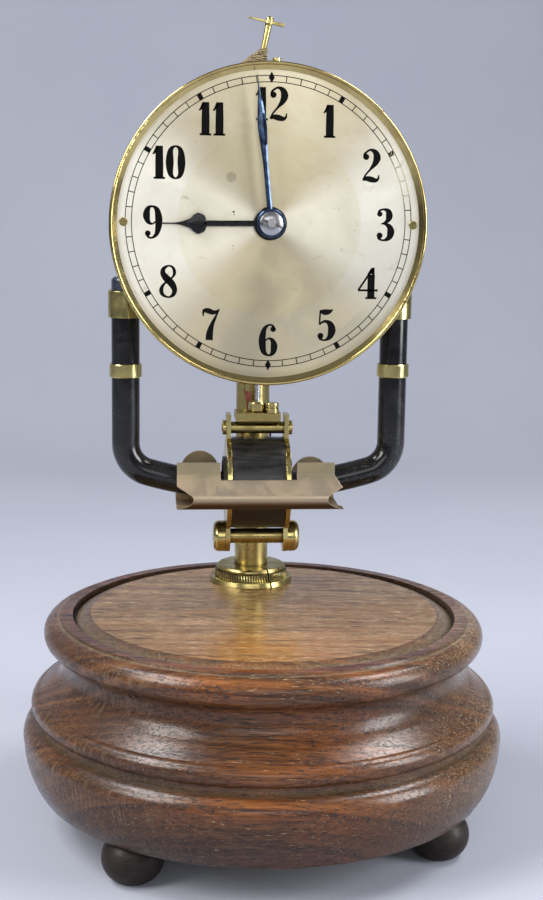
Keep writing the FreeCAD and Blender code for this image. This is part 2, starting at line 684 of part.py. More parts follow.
def pillar_spots():
    s = size
    return [(x * s.pillarReach, s.dialHeight + z * s.pillarReach) for x in (-1, 1) for z in (-1, 1)]


def make_frame():
    s = size
    arm_low, arm_high = s.clampLow, s.clampLow + s.clampHeight
    arm = s.barSpread + s.barRadius + s.clampWall * 0.5
    wing = s.pillarReach + 5
    wing_high = s.dialHeight + s.pillarReach + 5
    outline = [
        (-s.spineHalf, s.spineLow), (s.spineHalf, s.spineLow), (s.spineHalf, arm_low), (arm, arm_low),
        (arm, arm_high), (wing, arm_high), (wing, wing_high), (s.cockHalf, wing_high),
        (s.cockHalf, s.pivotHeight), (-s.cockHalf, s.pivotHeight), (-s.cockHalf, wing_high),
        (-wing, wing_high), (-wing, arm_high), (-arm, arm_high), (-arm, arm_low), (-s.spineHalf, arm_low)]
    holes = [(s.screwRadius * 0.8 + s.runGap, (x, z)) for x, z, reach in frame_screw_spots()]
    holes += [(s.screwRadius + s.runGap, spot) for spot in pillar_spots()]
    holes += [(s.screwRadius + s.runGap, spot) for spot in head_screw_spots()]
    frame = plate("frame_body", outline, s.frameThick, (0, s.frameFront, 0), holes=holes)
    tap = cylinder("cock_tap", s.screwRadius * 0.8 + s.runGap, 8,
                   (-4, s.frameFront + s.frameThick * 0.5, s.pivotHeight - 8))
    node(cut("frame", frame, [tap]), "frame_plate")

    back = s.frameFront + s.frameThick
    head = block("head_blank", (-s.headHalf, s.headHalf), (back, s.columnBack + s.columnRadius + 2),
                 (s.headLow, s.headHigh))
    bore = cylinder("head_bore", s.columnRadius, s.columnTop, (0, s.columnBack, s.headLow - 1))
    taps = [through(f"head_tap_{index}", s.screwRadius + s.runGap, (x, back, z), 6)
            for index, (x, z) in enumerate(head_screw_spots())]
    node(cut("head", head, [bore] + taps), "column_head")
    make_frame_screws(back)


def head_screw_spots():
    s = size
    return [(sized(x) * (s.headHalf - 2.8), s.headLow + 4) for x in (-1, 1)] + \
           [(sized(x) * (s.headHalf - 2.8), s.headHigh - 4) for x in (-1, 1)]


def screw(name, radius, head_radius, head_thick, length, at, along):
    """A cheese-head screw whose head sits at the start and whose stem runs along the given way."""
    x, y, z = [sized(value) for value in at]
    stem = cylinder(name + "_stem", radius, length, (x, y, z), along)
    step = {"y": (x, y - head_thick, z), "-y": (x, y + head_thick, z), "z": (x, y, z - head_thick),
            "-z": (x, y, z + head_thick)}[along]
    head = cylinder(name + "_head", head_radius, head_thick, step, along)
    return fuse(name, [stem, head])


def make_frame_screws(back):
    s = size
    screws = []
    for index, (x, z, reach) in enumerate(frame_screw_spots()):
        screws.append(screw(f"clamp_screw_{index}", s.screwRadius * 0.8, s.screwHead, s.screwHeadThick,
                            s.frameThick + reach, (x, back, z), "-y"))
    for index, (x, z) in enumerate(head_screw_spots()):
        screws.append(screw(f"head_screw_{index}", s.screwRadius, s.screwHead - 0.4, s.screwHeadThick,
                            s.frameThick + 5, (x, s.frameFront, z), "y"))
    for index, (x, z) in enumerate(pillar_spots()):
        screws.append(screw(f"pillar_screw_{index}", s.screwRadius, s.screwHead, s.screwHeadThick,
                            s.frameThick + 4, (x, back, z), "-y"))
    top = s.pivotHeight + s.cockThick
    low = cylinder("cock_screw_stem", s.screwRadius * 0.8, s.cockThick + 6,
                   (-4, s.frameFront + s.frameThick * 0.5, s.pivotHeight - 6))
    head = cylinder("cock_screw_head", 2.4, 1.4, (-4, s.frameFront + s.frameThick * 0.5, top))
    screws.append(fuse("cock_screw", [low, head]))
    screws.append(nip_screw())
    node(group("frame_screw_set", screws), "frame_screws")


def make_cock():
    s = size
    top = s.pivotHeight + s.cockThick
    blank = block("cock_blank", (-s.cockHalf, s.cockHalf), (s.cockFront, s.frameFront + s.frameThick),
                  (s.pivotHeight, top))
    winder_hole = cylinder("winder_hole", s.winderRadius * 0.8 + s.runGap, 6, (0, 0, 0))
    lean_to_winder(winder_hole, -3.2)
    thread_hole = cylinder("thread_hole", s.silkRadius + 0.3, 3.0,
                           (s.rodShift, s.magnetBack, s.pivotHeight - 1))
    nip_hole = cylinder("nip_hole", s.screwRadius * 0.8 + s.runGap, 4, (nip_reach(), nip_back(), top - 3))
    screw_hole = cylinder("cock_screw_hole", s.screwRadius * 0.8 + s.runGap, s.cockThick + 2,
                          (-4, s.frameFront + s.frameThick * 0.5, s.pivotHeight - 1))
    node(cut("cock", blank, [winder_hole, thread_hole, nip_hole, screw_hole]), "suspension_cock")


def nip_screw():
    """The small screw on the cock that nips the loose end of the silk."""
    s = size
    top = s.pivotHeight + s.cockThick
    stem = cylinder("nip_stem", s.screwRadius * 0.8, 2.8, (nip_reach(), nip_back(), top - 2.8))
    head = cylinder("nip_head", s.screwRadius + 0.2, 2.2, (nip_reach(), nip_back(), top))
    slot = block("nip_slot", (nip_reach() - 3, nip_reach() + 3), (nip_back() - 0.3, nip_back() + 0.3),
                 (top + 1.5, top + 3))
    return cut("nip", fuse("nip_blank", [stem, head]), [slot])


def nip_reach():
    return sized(4.4)


def nip_back():
    return size.magnetBack - 2.5


def lean_to_winder(item, lift):
    """Puts an upright item on the winder's leaning axis, lifted from the cock's top."""
    s = size
    item.Placement = Placement(Vector(), Rotation(Vector(0, 1, 0), s.winderLean.number))
    bind(item, "Placement.Rotation.Angle", s.winderLean)
    bind(item, "Placement.Base.x", s.winderFoot + sized(lift) * sine(s.winderLean))
    bind(item, "Placement.Base.y", s.magnetBack)
    bind(item, "Placement.Base.z", s.pivotHeight + s.cockThick + sized(lift) * cosine(s.winderLean))
    return item


def make_winder():
    """The T-shaped pin that winds up the silk; it stands leaning in the cock."""
    s = size
    thin = s.winderRadius * 0.8
    length, cap = s.winderLength, s.winderCap
    dome = length + 0.9
    stem = lathe("winder_stem", [
        (0, -3.0), (thin, -3.0), (thin, 0.4), (s.winderRadius, 0.8), (s.winderRadius, length * 0.55),
        (s.winderRadius + 0.2, length - 1.4), (cap, length - 0.6), (cap, dome),
        ((cap * 0.8, dome + cap * 0.55), (cap * 0.3, dome + cap * 0.85)), (0, dome + cap * 0.85)])
    bar = plate("winder_bar", [
        (-s.winderBarLeft, length - 0.25), (s.winderBarRight, length - 0.65),
        (s.winderBarRight, length + 0.65), (-s.winderBarLeft, length + 0.25)], 1.8, (0, -0.9, 0))
    joined = fuse("winder_joined", [stem, bar])
    node(lean_to_winder(joined, 0), "winder_pin")


def biarc(start, heading, end, leaving):
    """Two tangent arcs from one point and heading to another."""
    across, both = end - start, heading + leaving
    dot, square = across.dot(both), across.dot(across)
    spread = 2 * (1 - heading.dot(leaving))
    reach = (-dot + math.sqrt(dot * dot + spread * square)) / spread
    meeting = (start + end + (heading - leaving) * reach) * 0.5
    return [arc_leaving(start, heading, meeting), arc_leaving(end, leaving * -1, meeting)[::-1]]


def arc_leaving(start, heading, end):
    chord = end - start
    half = chord.Length / 2
    along = Vector(chord).normalize()
    side = (heading - along * heading.dot(along)).normalize()
    middle = start + chord * 0.5 + side * (half * math.tan(heading.getAngle(chord) / 2))
    return (start, middle, end)


def make_heap():
    """Loose suspension silk lying in rising, narrowing turns round the foot of the winder."""
    s = size
    turn_count, thread = s.heapTurns.number, s.heapThread.number
    top = (s.pivotHeight + s.cockThick).number
    wide, narrow = s.heapRadius.number, s.winderRadius.number + 0.75
    steps = int(turn_count * 4)
    lean = math.tan(math.radians(s.winderLean.number))

    def spot(step):
        share = step / steps
        rise = thread / 2 + share * s.heapHeight.number
        radius = wide + (narrow - wide) * share
        centre = (s.winderFoot.number - 2.2) * (1 - share) + (s.winderFoot.number + lean * rise) * share
        angle = math.pi / 2 * step
        across, back = radius * math.cos(angle), radius * math.sin(angle)
        return Vector(centre + across, s.magnetBack.number + back, top + rise)

    def heading(step):
        near = 0.01
        return (spot(step + near) - spot(step - near)).normalize()

    edges = []
    for step in range(steps):
        for points in biarc(spot(step), heading(step), spot(step + 1), heading(step + 1)):
            edges.append(Part.Arc(*points).toShape())
    points = [spot(index / 4) for index in range(steps * 4 + 1)]
    gap = min((near - far).Length for index, near in enumerate(points) for far in points[index + 8:])
    print("least gap between turns of the silk heap", round(gap - thread, 2), "mm")
    tube = tube_along(Part.Wire(edges), thread / 2)
    node(solid("heap", tube), "silk_heap")


def make_plates():
    s = size
    rear_front = s.plateFront + s.plateThick + s.plateGap
    drills = wheel_drills()
    ears = s.dialScrewReach + 4
    front_disc = cylinder("front_disc", s.plateRadius, s.plateThick, (0, s.plateFront, s.dialHeight), "y")
    front_bar = block("front_bar", (-ears, ears), (s.plateFront, s.plateFront + s.plateThick),
                      (s.dialHeight - 5, s.dialHeight + 5))
    stud = cylinder("minute_stud", s.pivotRadius, s.plateFront + 1.1,
                    (0, -1.1, s.dialHeight - s.motionGap), "y")
    holes = drills("front") + [
        through(f"post_hole_{side}", s.screwRadius * 0.7 + s.runGap,
                (side * s.dialScrewReach, s.plateFront, s.dialHeight), 4) for side in (-1, 1)]
    holes += [through(f"front_pillar_hole_{index}", s.screwRadius + s.runGap, (x, s.plateFront, z), 3)
              for index, (x, z) in enumerate(pillar_spots())]
    front = cut("front_drilled", fuse("front_blank", [front_disc, front_bar]), holes)
    node(fuse("front_studded", [front, stud]), "front_plate")

    rear_disc = cylinder("rear_disc", s.plateRadius, s.plateThick, (0, rear_front, s.dialHeight), "y")
    holes = drills("rear") + [
        through(f"rear_pillar_hole_{index}", s.screwRadius + s.runGap, (x, rear_front, z), 3)
        for index, (x, z) in enumerate(pillar_spots())]
    node(cut("rear", rear_disc, holes), "rear_plate")

    pillars, spacers = [], []
    for index, (x, z) in enumerate(pillar_spots()):
        low = s.plateFront + s.plateThick
        pillars.append(fuse(f"pillar_{index}", [
            cylinder(f"pillar_stem_{index}", s.pillarRadius, s.plateGap, (x, low, z), "y"),
            cylinder(f"pillar_nose_{index}", s.screwRadius, s.plateThick, (x, s.plateFront, z), "y"),
            cylinder(f"pillar_tail_{index}", s.screwRadius, s.plateThick + 3, (x, rear_front, z), "y")]))
        back = rear_front + s.plateThick
        spacers.append(cut(f"spacer_{index}", cylinder(
            f"spacer_blank_{index}", s.spacerRadius, s.frameFront - back, (x, back, z), "y"),
            [cylinder(f"spacer_bore_{index}", s.screwRadius + s.runGap, s.frameFront, (x, back - 1, z), "y")]))
    for side in (-1, 1):
        x, back = side * s.dialScrewReach, s.dialFront + s.dialThick
        post = cylinder(f"dial_post_blank_{side}", 2.4, s.plateFront - back, (x, back, s.dialHeight), "y")
        bore = cylinder(f"dial_post_bore_{side}", s.screwRadius * 0.7 + s.runGap, 9,
                        (x, back - 1, s.dialHeight), "y")
        pillars.append(cut(f"dial_post_{side}", post, [bore]))
    node(group("pillar_set", pillars + spacers), "plate_pillars")


def wheel_drills():
    """Pivot holes: in front for the minute arbor's pipe, behind for the arbors' rear pivots."""
    s = size

    def drills(which):
        places = {
            "minute": (0, s.dialHeight, s.arborRadius + 0.6 if which == "front" else s.arborRadius),
            "ratchet": (ratchet_spot()[0], ratchet_spot()[1], s.pivotRadius),
            "fork": (s.rodShift, s.forkHeight, s.pivotRadius if which == "front" else s.arborRadius)}
        back = s.plateFront if which == "front" else s.plateFront + s.plateThick + s.plateGap
        return [through(f"{which}_{name}_hole", radius + s.runGap, (x, back, z), 3)
                for name, (x, z, radius) in places.items()]

    return drills


def ratchet_spot():
    s = size
    return s.trainGap * 0.7071, s.dialHeight + s.trainGap * 0.7071


# Dial, bezel and hands

def make_dial():
    s = size
    y, z = s.dialFront, s.dialHeight
    middle = z - s.dialDrop
    holes = [cylinder("dial_centre_hole", s.pipeRadius + 1.0, 4, (0, y - 1, z), "y")]
    holes += [cylinder(f"dial_screw_hole_{side}", s.screwRadius * 0.7 + s.runGap, 4,
                       (side * s.dialScrewReach, y - 1, z), "y") for side in (-1, 1)]
    node(disc("dial", s.dialRadius, s.dialThick, (0, y, middle), "y", holes), "dial")

    lip, wall = s.dialRadius - s.bezelLip, s.dialRadius
    bead, edge = s.bezelRadius - s.bezelBead, s.bezelDepth - 1.0
    node(lathe("bezel_body", [
        (lip, 0), (lip, -0.25), (bead, -0.95),
        ((bead + s.bezelBead * 0.5, -s.bezelRise), (s.bezelRadius, -0.95)), (s.bezelRadius, edge),
        (wall + 1.0, edge), (wall + 1.0, edge - 0.6), (wall, edge - 0.6), (wall, 0)],
        (0, y, middle), "y"), "bezel")

    screws = []
    for side in (-1, 1):
        x = side * s.dialScrewReach
        head = cylinder(f"dial_screw_head_{side}", 1.6, 0.7, (x, y - 0.7, z), "y")
        stem = cylinder(f"dial_screw_stem_{side}", s.screwRadius * 0.7, s.plateFront - y + 1, (x, y, z), "y")
        slot = block(f"dial_screw_slot_{side}", (x - 3, x + 3), (y - 1, y - 0.35), (z - 0.25, z + 0.25))
        screws.append(cut(f"dial_screw_{side}", fuse(f"dial_screw_blank_{side}", [head, stem]), [slot]))
    node(group("dial_screw_set", screws), "dial_screws")


def hand_layers():
    """Front faces of the hour hand, minute hand and nut, stepping forward from the dial."""
    s = size
    hour = s.dialFront - s.handClear
    minute = hour - s.handThick - s.handStep
    nut = minute - s.handNutThick
    return hour, minute, nut


def turn_hand(item, angle, front):
    """Stands a hand, drawn pointing up from its own origin, on the dial's axis at a clockwise angle."""
    s = size
    item.Placement = Placement(Vector(), Rotation(Vector(0, 1, 0), angle.number))
    bind(item, "Placement.Rotation.Angle", angle)
    bind(item, "Placement.Base.y", front)
    bind(item, "Placement.Base.z", s.dialHeight)
    return item


def make_hands():
    s = size
    hour_front, minute_front, nut_front = hand_layers()
    long, half, wide, needle = s.hourLength, s.hourStem, s.hourSpade, s.needleHalf
    spade = [(-half, s.pipeRadius + 1), (-half, long * 0.585),
             ((-wide * 0.76, long * 0.607), (-wide, long * 0.664)),
             ((-wide * 0.42, long * 0.742), (-needle, long * 0.852)),
             (-needle * 0.6, long * 0.99), ((0, long), (needle * 0.6, long * 0.99)),
             (needle, long * 0.852), ((wide * 0.42, long * 0.742), (wide, long * 0.664)),
             ((wide * 0.76, long * 0.607), (half, long * 0.585)), (half, s.pipeRadius + 1)]
    blade = plate("hour_blade", spade, s.handThick)
    boss = cylinder("hour_boss", s.hourBoss, s.handThick, (0, 0, 0), "y")
    bore = cylinder("hour_bore", s.pipeRadius, s.handThick + 2, (0, -1, 0), "y")
    hour = cut("hour_bored", fuse("hour_joined", [blade, boss]), [bore])
    node(turn_hand(hour, s.hourTurn, hour_front), "hour_hand")

    long, half, wide = s.minuteLength, s.minuteStem, s.minuteSpear
    root_high = s.handNutRadius + 0.5
    spear = [(-half, root_high), (-half, long * 0.34), ((-wide * 0.8, long * 0.53), (-wide, long * 0.65)),
             (-needle, long * 0.89), (0, long), (needle, long * 0.89),
             (wide, long * 0.65), ((wide * 0.8, long * 0.53), (half, long * 0.34)), (half, root_high)]
    blade = plate("minute_blade", spear, s.handThick)
    boss = cylinder("minute_boss", s.minuteBoss, s.handThick + s.bossStep, (0, -s.bossStep, 0), "y")
    bore = cylinder("minute_bore", s.arborRadius, s.handThick + 3, (0, -2, 0), "y")
    recess = cylinder("minute_recess", s.handNutRadius + s.runGap, s.bossStep * 2,
                      (0, -s.bossStep * 2, 0), "y")
    minute = cut("minute_bored", fuse("minute_joined", [blade, boss]), [bore, recess])
    node(turn_hand(minute, s.minuteTurn, minute_front), "minute_hand")

    nut = lathe("hand_nut_turned", [
        (s.arborRadius, 0), (s.handNutRadius, 0), (s.handNutRadius, s.handNutThick - 0.8),
        ((s.handNutRadius * 0.71, s.handNutThick - 0.27), (s.arborRadius, s.handNutThick))],
        (0, minute_front, s.dialHeight), "-y")
    slot = plate("hand_nut_slot", [(-6, -0.5), (6, -0.5), (6, 0.5), (-6, 0.5)], 1.2)
    turn_hand(slot, s.handNutTurn, nut_front - 0.5)
    node(cut("hand_nut_cut", nut, [slot]), "hand_nut")


# Wheels

def involute_wheel(teeth, module, thick, backlash=0.3, bore=None):
    """A flat wheel in XZ, thick along +Y, with one tooth pointing up. Its flanks are involutes."""
    pitch = teeth * module / 2
    base = pitch * math.cos(math.radians(20))
    tip, foot = pitch + 0.9 * module, pitch - 1.2 * module
    half = math.pi / (2 * teeth) * (1 - backlash)
    opening = math.tan(math.radians(20)) - math.radians(20)

    def flank(radius):
        roll = math.sqrt(max(0.0, (radius / base) ** 2 - 1))
        return half + opening - (roll - math.atan(roll))

    def point(radius, angle):
        return Vector(radius * math.sin(angle), 0, radius * math.cos(angle))

    start = max(base, foot)
    radii = [start + (tip - start) * step / 4 for step in range(5)]
    corners = []
    for tooth in range(teeth):
        middle = 2 * math.pi * tooth / teeth
        rising = [point(radius, middle - flank(radius)) for radius in radii]
        falling = [point(radius, middle + flank(radius)) for radius in reversed(radii)]
        corners += [point(foot, middle - flank(start)), *rising, *falling, point(foot, middle + flank(start))]
    wheel = Part.Face(Part.makePolygon(corners + corners[:1])).extrude(Vector(0, thick, 0))
    if bore:
        wheel = wheel.cut(Part.makeCylinder(bore, thick * 3, Vector(0, -thick, 0), Vector(0, 1, 0)))
    return wheel


def pick_wheel(teeth, radius, deep, thick, bore):
    """A ratchet wheel with slanted teeth."""
    corners = []
    for tooth in range(teeth):
        angle = 2 * math.pi * tooth / teeth
        corners.append(Vector(radius * math.sin(angle), 0, radius * math.cos(angle)))
        step = 2 * math.pi * (tooth + 0.12) / teeth
        corners.append(Vector((radius - deep) * math.sin(step), 0, (radius - deep) * math.cos(step)))
    wheel = Part.Face(Part.makePolygon(corners + corners[:1])).extrude(Vector(0, thick, 0))
    return wheel.cut(Part.makeCylinder(bore, thick * 3, Vector(0, -thick, 0), Vector(0, 1, 0)))


def spokes(wheel, rim, hub, pairs, thick):
    """Opens windows between straight bars that cross in the middle."""
    half = 0.9
    window = Part.makeCylinder(rim, thick * 3, Vector(0, -thick, 0), Vector(0, 1, 0))
    window = window.cut(Part.makeCylinder(hub, thick * 3, Vector(0, -thick, 0), Vector(0, 1, 0)))
    for index in range(pairs):
        bar = Part.makeBox(half * 2, thick * 5, rim * 4, Vector(-half, -thick * 2, -rim * 2))
        bar.rotate(Vector(), Vector(0, 1, 0), 180 * index / pairs)
        window = window.cut(bar)
    return wheel.cut(window)


def place_wheel(shape, spot, layer, turn=0.0):
    shape.rotate(Vector(), Vector(0, 1, 0), turn)
    shape.translate(Vector(spot[0], layer, spot[1]))
    return shape


def rod(radius, start, end, spot):
    return Part.makeCylinder(radius, end - start, Vector(spot[0], start, spot[1]), Vector(0, 1, 0))


def make_wheels():
    s = size
    centre = (0.0, s.dialHeight.number)
    gap = s.runGap.number
    motion, train = s.motionGap.number, s.trainGap.number
    minute_module, hour_module, train_module = motion / 24, motion / 25, train / 36
    plate_front, thick = s.plateFront.number, s.plateThick.number
    arbor, pivot = s.arborRadius.number, s.pivotRadius.number
    rear_back = plate_front + 2 * thick + s.plateGap.number
    hour_front, minute_front, nut_front = [layer.number for layer in hand_layers()]
    below = (0.0, centre[1] - motion)

    # minute arbor with its pinion, front pipe and pin end
    pinion = place_wheel(involute_wheel(12, minute_module, 1.2), centre, 0.9)
    shaft = rod(arbor, nut_front - 0.9, rear_back, centre)
    sleeve = rod(arbor + 0.6, minute_front + s.handThick.number, plate_front + thick + 0.3, centre)
    node(solid("minute_arbor_solid", shaft.fuse([sleeve, pinion]).removeSplitter()), "minute_arbor")
    wheel_layer = plate_front + thick + 0.8
    wheel = involute_wheel(64, train_module, 1.0, bore=arbor)
    wheel = spokes(wheel, (32 - 1.2) * train_module - 1.6, 4.0, 2, 1.0)
    node(solid("centre_wheel_solid", place_wheel(wheel, centre, wheel_layer)), "centre_wheel")

    # hour wheel with its pipe
    pipe_out, pipe_in = s.pipeRadius.number, arbor + 0.6 + gap
    wheel = place_wheel(involute_wheel(40, hour_module, 0.9, bore=pipe_in), centre, -0.75)
    pipe = rod(pipe_out, hour_front, -0.3, centre).cut(rod(pipe_in, hour_front - 1, 1, centre))
    node(solid("hour_wheel_solid", wheel.fuse(pipe).removeSplitter()), "hour_wheel")

    # minute wheel and its pinion on the stud below the centre
    wheel = place_wheel(involute_wheel(36, minute_module, 0.8, bore=pivot + gap), below, 1.1, 180 / 36)
    pinion = place_wheel(involute_wheel(10, hour_module, 1.9, bore=pivot + gap), below, -0.8, 180 / 10)
    node(solid("minute_wheel_solid", wheel.fuse(pinion).removeSplitter()), "minute_wheel")

    # ratchet arbor with its pinion and ratchet wheel
    spot = tuple(value.number for value in ratchet_spot())
    mesh = 45 + 180
    pinion = place_wheel(involute_wheel(8, train_module, 1.6), spot, wheel_layer - 0.3,
                         mesh + 180 / 8 - 45 * 8)
    shaft = rod(pivot, plate_front, rear_back, spot)
    hub = rod(pivot + 0.8, wheel_layer + 1.3, rear_back - thick - 0.4, spot)
    ratchet = place_wheel(pick_wheel(60, s.ratchetRadius.number, 0.7, 0.9, pivot), spot, ratchet_layer())
    node(solid("ratchet_solid", shaft.fuse([pinion, hub, ratchet]).removeSplitter()), "ratchet_wheel")
    make_fork(rear_back, plate_front)


def ratchet_layer():
    return size.plateFront.number + size.plateThick.number + 5.0


def make_fork(rear_back, plate_front):
    """The fork hangs behind the rear plate and its pawl lies between the plates."""
    s = size
    axis = (s.rodShift.number, s.forkHeight.number)
    layer = rear_back + 1.0
    thick = s.forkThick.number
    length = s.forkHeight.number - s.pinHeight.number
    arbor, pivot, gap = s.arborRadius.number, s.pivotRadius.number, 0.15
    shaft = rod(arbor, plate_front + s.plateThick.number + 0.1, layer + thick, axis)
    nose = rod(pivot, plate_front, plate_front + s.plateThick.number + 0.1, axis)
    pawl = make_pawl(axis)
    node(solid("fork_arbor_solid", shaft.fuse([nose, pawl]).removeSplitter()), "pawl_arbor")

    half, wall = s.pinRadius.number + gap, s.forkWall.number
    wide, tip = s.forkArmHalf.number, s.forkTipReach.number
    arm = Part.makeBox(wide * 2, thick, length - 4, Vector(-wide, 0, -(length - 4)))
    boss = Part.makeCylinder(s.forkBoss.number, thick, Vector(), Vector(0, 1, 0))
    prongs = Part.makeBox(2 * (half + wall), thick, tip + 5.5, Vector(-half - wall, 0, -length - tip))
    slot = Part.makeBox(2 * half, thick * 3, tip + 4, Vector(-half, -thick, -length - tip - 0.5))
    hole = Part.makeCylinder(arbor, thick * 3, Vector(0, -thick, 0), Vector(0, 1, 0))
    fork = arm.fuse([boss, prongs]).removeSplitter().cut(slot).cut(hole)
    fork.translate(Vector(axis[0], layer, axis[1]))
    node(solid("fork_solid", fork), "fork_lever")


def make_pawl(axis):
    """The pawl points at the ratchet wheel and stops just short of its teeth."""
    spot = [value.number for value in ratchet_spot()]
    apart = math.hypot(spot[0] - axis[0], spot[1] - axis[1])
    reach = apart - size.ratchetRadius.number - 0.35
    turn = math.degrees(math.atan2(spot[0] - axis[0], spot[1] - axis[1]))
    hub = Part.makeCylinder(2.6, 0.9, Vector(), Vector(0, 1, 0))
    finger = Part.Face(Part.makePolygon([Vector(-0.9, 0, 0), Vector(-0.35, 0, reach), Vector(0.35, 0, reach),
                                         Vector(0.9, 0, 0), Vector(-0.9, 0, 0)])).extrude(Vector(0, 0.9, 0))
    return place_wheel(hub.fuse(finger), axis, ratchet_layer(), turn)


# Pendulum

def coil_height():
    return size.bowLow + size.coilLift


def top_rod_height():
    return coil_height() + size.wrapRadius + size.topRodRise


def low_rod_height():
    return coil_height() - size.wrapRadius - size.lowRodDrop


def bob_node(item, label):
    """Turns a piece of the bob about the rod, as it hangs on its silk, and makes it a node."""
    s = size
    outer = group(item.Name + "_hung", [item])
    outer.Placement = Placement(Vector(), Rotation(Vector(0, 0, -1), s.bobTurn.number))
    bind(outer, "Placement.Rotation.Angle", s.bobTurn)
    bind(outer, "Placement.Base.x",
         s.rodShift - s.rodShift * cosine(s.bobTurn) - s.magnetBack * sine(s.bobTurn))
    bind(outer, "Placement.Base.y",
         s.magnetBack + s.rodShift * sine(s.bobTurn) - s.magnetBack * cosine(s.bobTurn))
    return node(outer, label)


def make_rod():
    s = size
    bridge_low = top_rod_height() + s.topRodRadius
    boss_low = s.rodTop - 4
    node(lathe("rod_body", [
        (0, bridge_low), (s.rodRadius, bridge_low), (s.rodRadius, boss_low),
        (s.rodRadius + 0.7, boss_low + 0.5), (s.rodRadius + 0.7, s.rodTop - 0.4), (s.rodRadius + 0.3, s.rodTop), (0, s.rodTop)],
        (s.rodShift, s.magnetBack, 0)), "pendulum_rod")
    node(cylinder("silk", s.silkRadius, s.pivotHeight - 0.1 - s.rodTop, (s.rodShift, s.magnetBack, s.rodTop)),
         "suspension_silk")

    collar = cylinder("pin_collar", s.rodRadius + 1.4, 4.4, (s.rodShift, s.magnetBack, s.pinHeight - 2.2))
    pin_front = s.plateFront + s.plateThick * 2 + s.plateGap + 0.6
    pin = cylinder("pin_stem", s.pinRadius, s.magnetBack - pin_front, (s.rodShift, pin_front, s.pinHeight), "y")
    bore = cylinder("pin_bore", s.rodRadius, 6, (s.rodShift, s.magnetBack, s.pinHeight - 3))
    node(cut("pin", fuse("pin_blank", [collar, pin]), [bore]), "contact_pin")


def make_side_plate(label, x):
    """A round brass cheek with a lug above for the top rod and a foot below for the bottom rod."""
    s = size
    y, z, low, top = s.magnetBack, coil_height(), low_rod_height(), top_rod_height()
    cheek = cylinder(f"side_{label}_disc", s.sideRadius, s.sideThick, (x, y, z), "x")
    lug = block(f"side_{label}_top", (x, x + s.sideThick), (y - s.lugHalf, y + s.lugHalf), (z, top + s.lugRise))
    foot = cylinder(f"side_{label}_foot", s.lowLugRadius, s.sideThick, (x, y, low), "x")
    web = block(f"side_{label}_web", (x, x + s.sideThick), (y - s.lowLugRadius, y + s.lowLugRadius), (low, z))
    holes = [cylinder(f"side_{label}_{name}_hole", radius, s.sideThick + 2, (x - 1, y, height), "x")
             for name, radius, height in (("bore", s.boreRadius + s.bobbinWall, z), ("top", s.topRodEnd, top),
                                          ("low", s.lowRodEnd, low))]
    bob_node(cut(f"side_{label}", fuse(f"side_{label}_blank", [cheek, lug, foot, web]), holes),
             f"side_plate_{label}")


def ring_of(name, outside, inside, half):
    """A tube lying across the bob, centred on the coil."""
    s = size
    y, z, x = s.magnetBack, coil_height(), s.rodShift
    blank = cylinder(name + "_blank", outside, half * 2, (x - half, y, z), "x")
    bore = cylinder(name + "_bore", inside, half * 2 + 2, (x - half - 1, y, z), "x")
    return cut(name, blank, [bore])


def make_coil():
    s = size
    inner = s.coilHalf - s.sideThick
    make_side_plate("left", s.rodShift - s.coilHalf)
    make_side_plate("right", s.rodShift + inner)
    tube = s.boreRadius + s.bobbinWall
    wrap_in = s.wrapRadius - s.wrapThick
    bob_node(ring_of("bobbin_bored", tube, s.boreRadius, s.coilHalf + s.bobbinEnd), "bobbin")
    bob_node(ring_of("winding_bored", wrap_in, tube, inner), "coil_winding")
    bob_node(ring_of("wrap_bored", s.wrapRadius, wrap_in, inner), "coil_wrap")
    make_cross_rods(s.coilHalf, inner)
    make_bridge()
    make_coil_leads()


def make_cross_rods(outer, inner):
    s = size
    x, y, top, low = s.rodShift, s.magnetBack, top_rod_height(), low_rod_height()
    end_reach = outer + s.topNutThick + 0.3
    pieces = [cylinder("top_rod_bar", s.topRodRadius, inner * 2, (x - inner, y, top), "x"),
              cylinder("top_rod_ends", s.topRodEnd, end_reach * 2, (x - end_reach, y, top), "x")]
    bob_node(fuse("top_rod_joined", pieces), "top_cross_rod")
    nuts = []
    for side, start in ((-1, x - outer - s.topNutThick), (1, x + outer)):
        blank = cylinder(f"top_nut_blank_{side}", s.topNutRadius, s.topNutThick, (start, y, top), "x")
        bore = cylinder(f"top_nut_bore_{side}", s.topRodEnd, s.topNutThick + 2, (start - 1, y, top), "x")
        nuts.append(cut(f"top_nut_{side}", blank, [bore]))
    bob_node(group("top_nut_set", nuts), "top_rod_nuts")

    end_reach = outer + s.knobWidth - 0.6
    pieces = [cylinder("low_rod_bar", s.lowRodRadius, inner * 2, (x - inner, y, low), "x"),
              cylinder("low_rod_ends", s.lowRodEnd, end_reach * 2, (x - end_reach, y, low), "x")]
    bob_node(fuse("low_rod_joined", pieces), "bottom_cross_rod")
    gap, turn = s.runGap, s.knobRound
    profile = [(s.lowRodEnd + gap, gap), (s.knobRadius, gap), (s.knobRadius, s.knobWidth - turn),
               ((s.knobRadius - turn * 0.293, s.knobWidth - turn * 0.293), (s.knobRadius - turn, s.knobWidth)),
               (s.lowRodEnd + gap, s.knobWidth)]
    for label, along, start in (("left", "-x", x - outer), ("right", "x", x + outer)):
        bob_node(lathe(f"knob_{label}_body", profile, (start, y, low), along), f"knob_{label}")


def round_bottomed(half, low, high, turn):
    """An upright rectangle whose two lower corners are rounded."""
    near = turn * 0.293
    return [(-half, high), (half, high), (half, low + turn), ((half - near, low + near), (half - turn, low)),
            (turn - half, low), ((near - half, low + near), (-half, low + turn))]


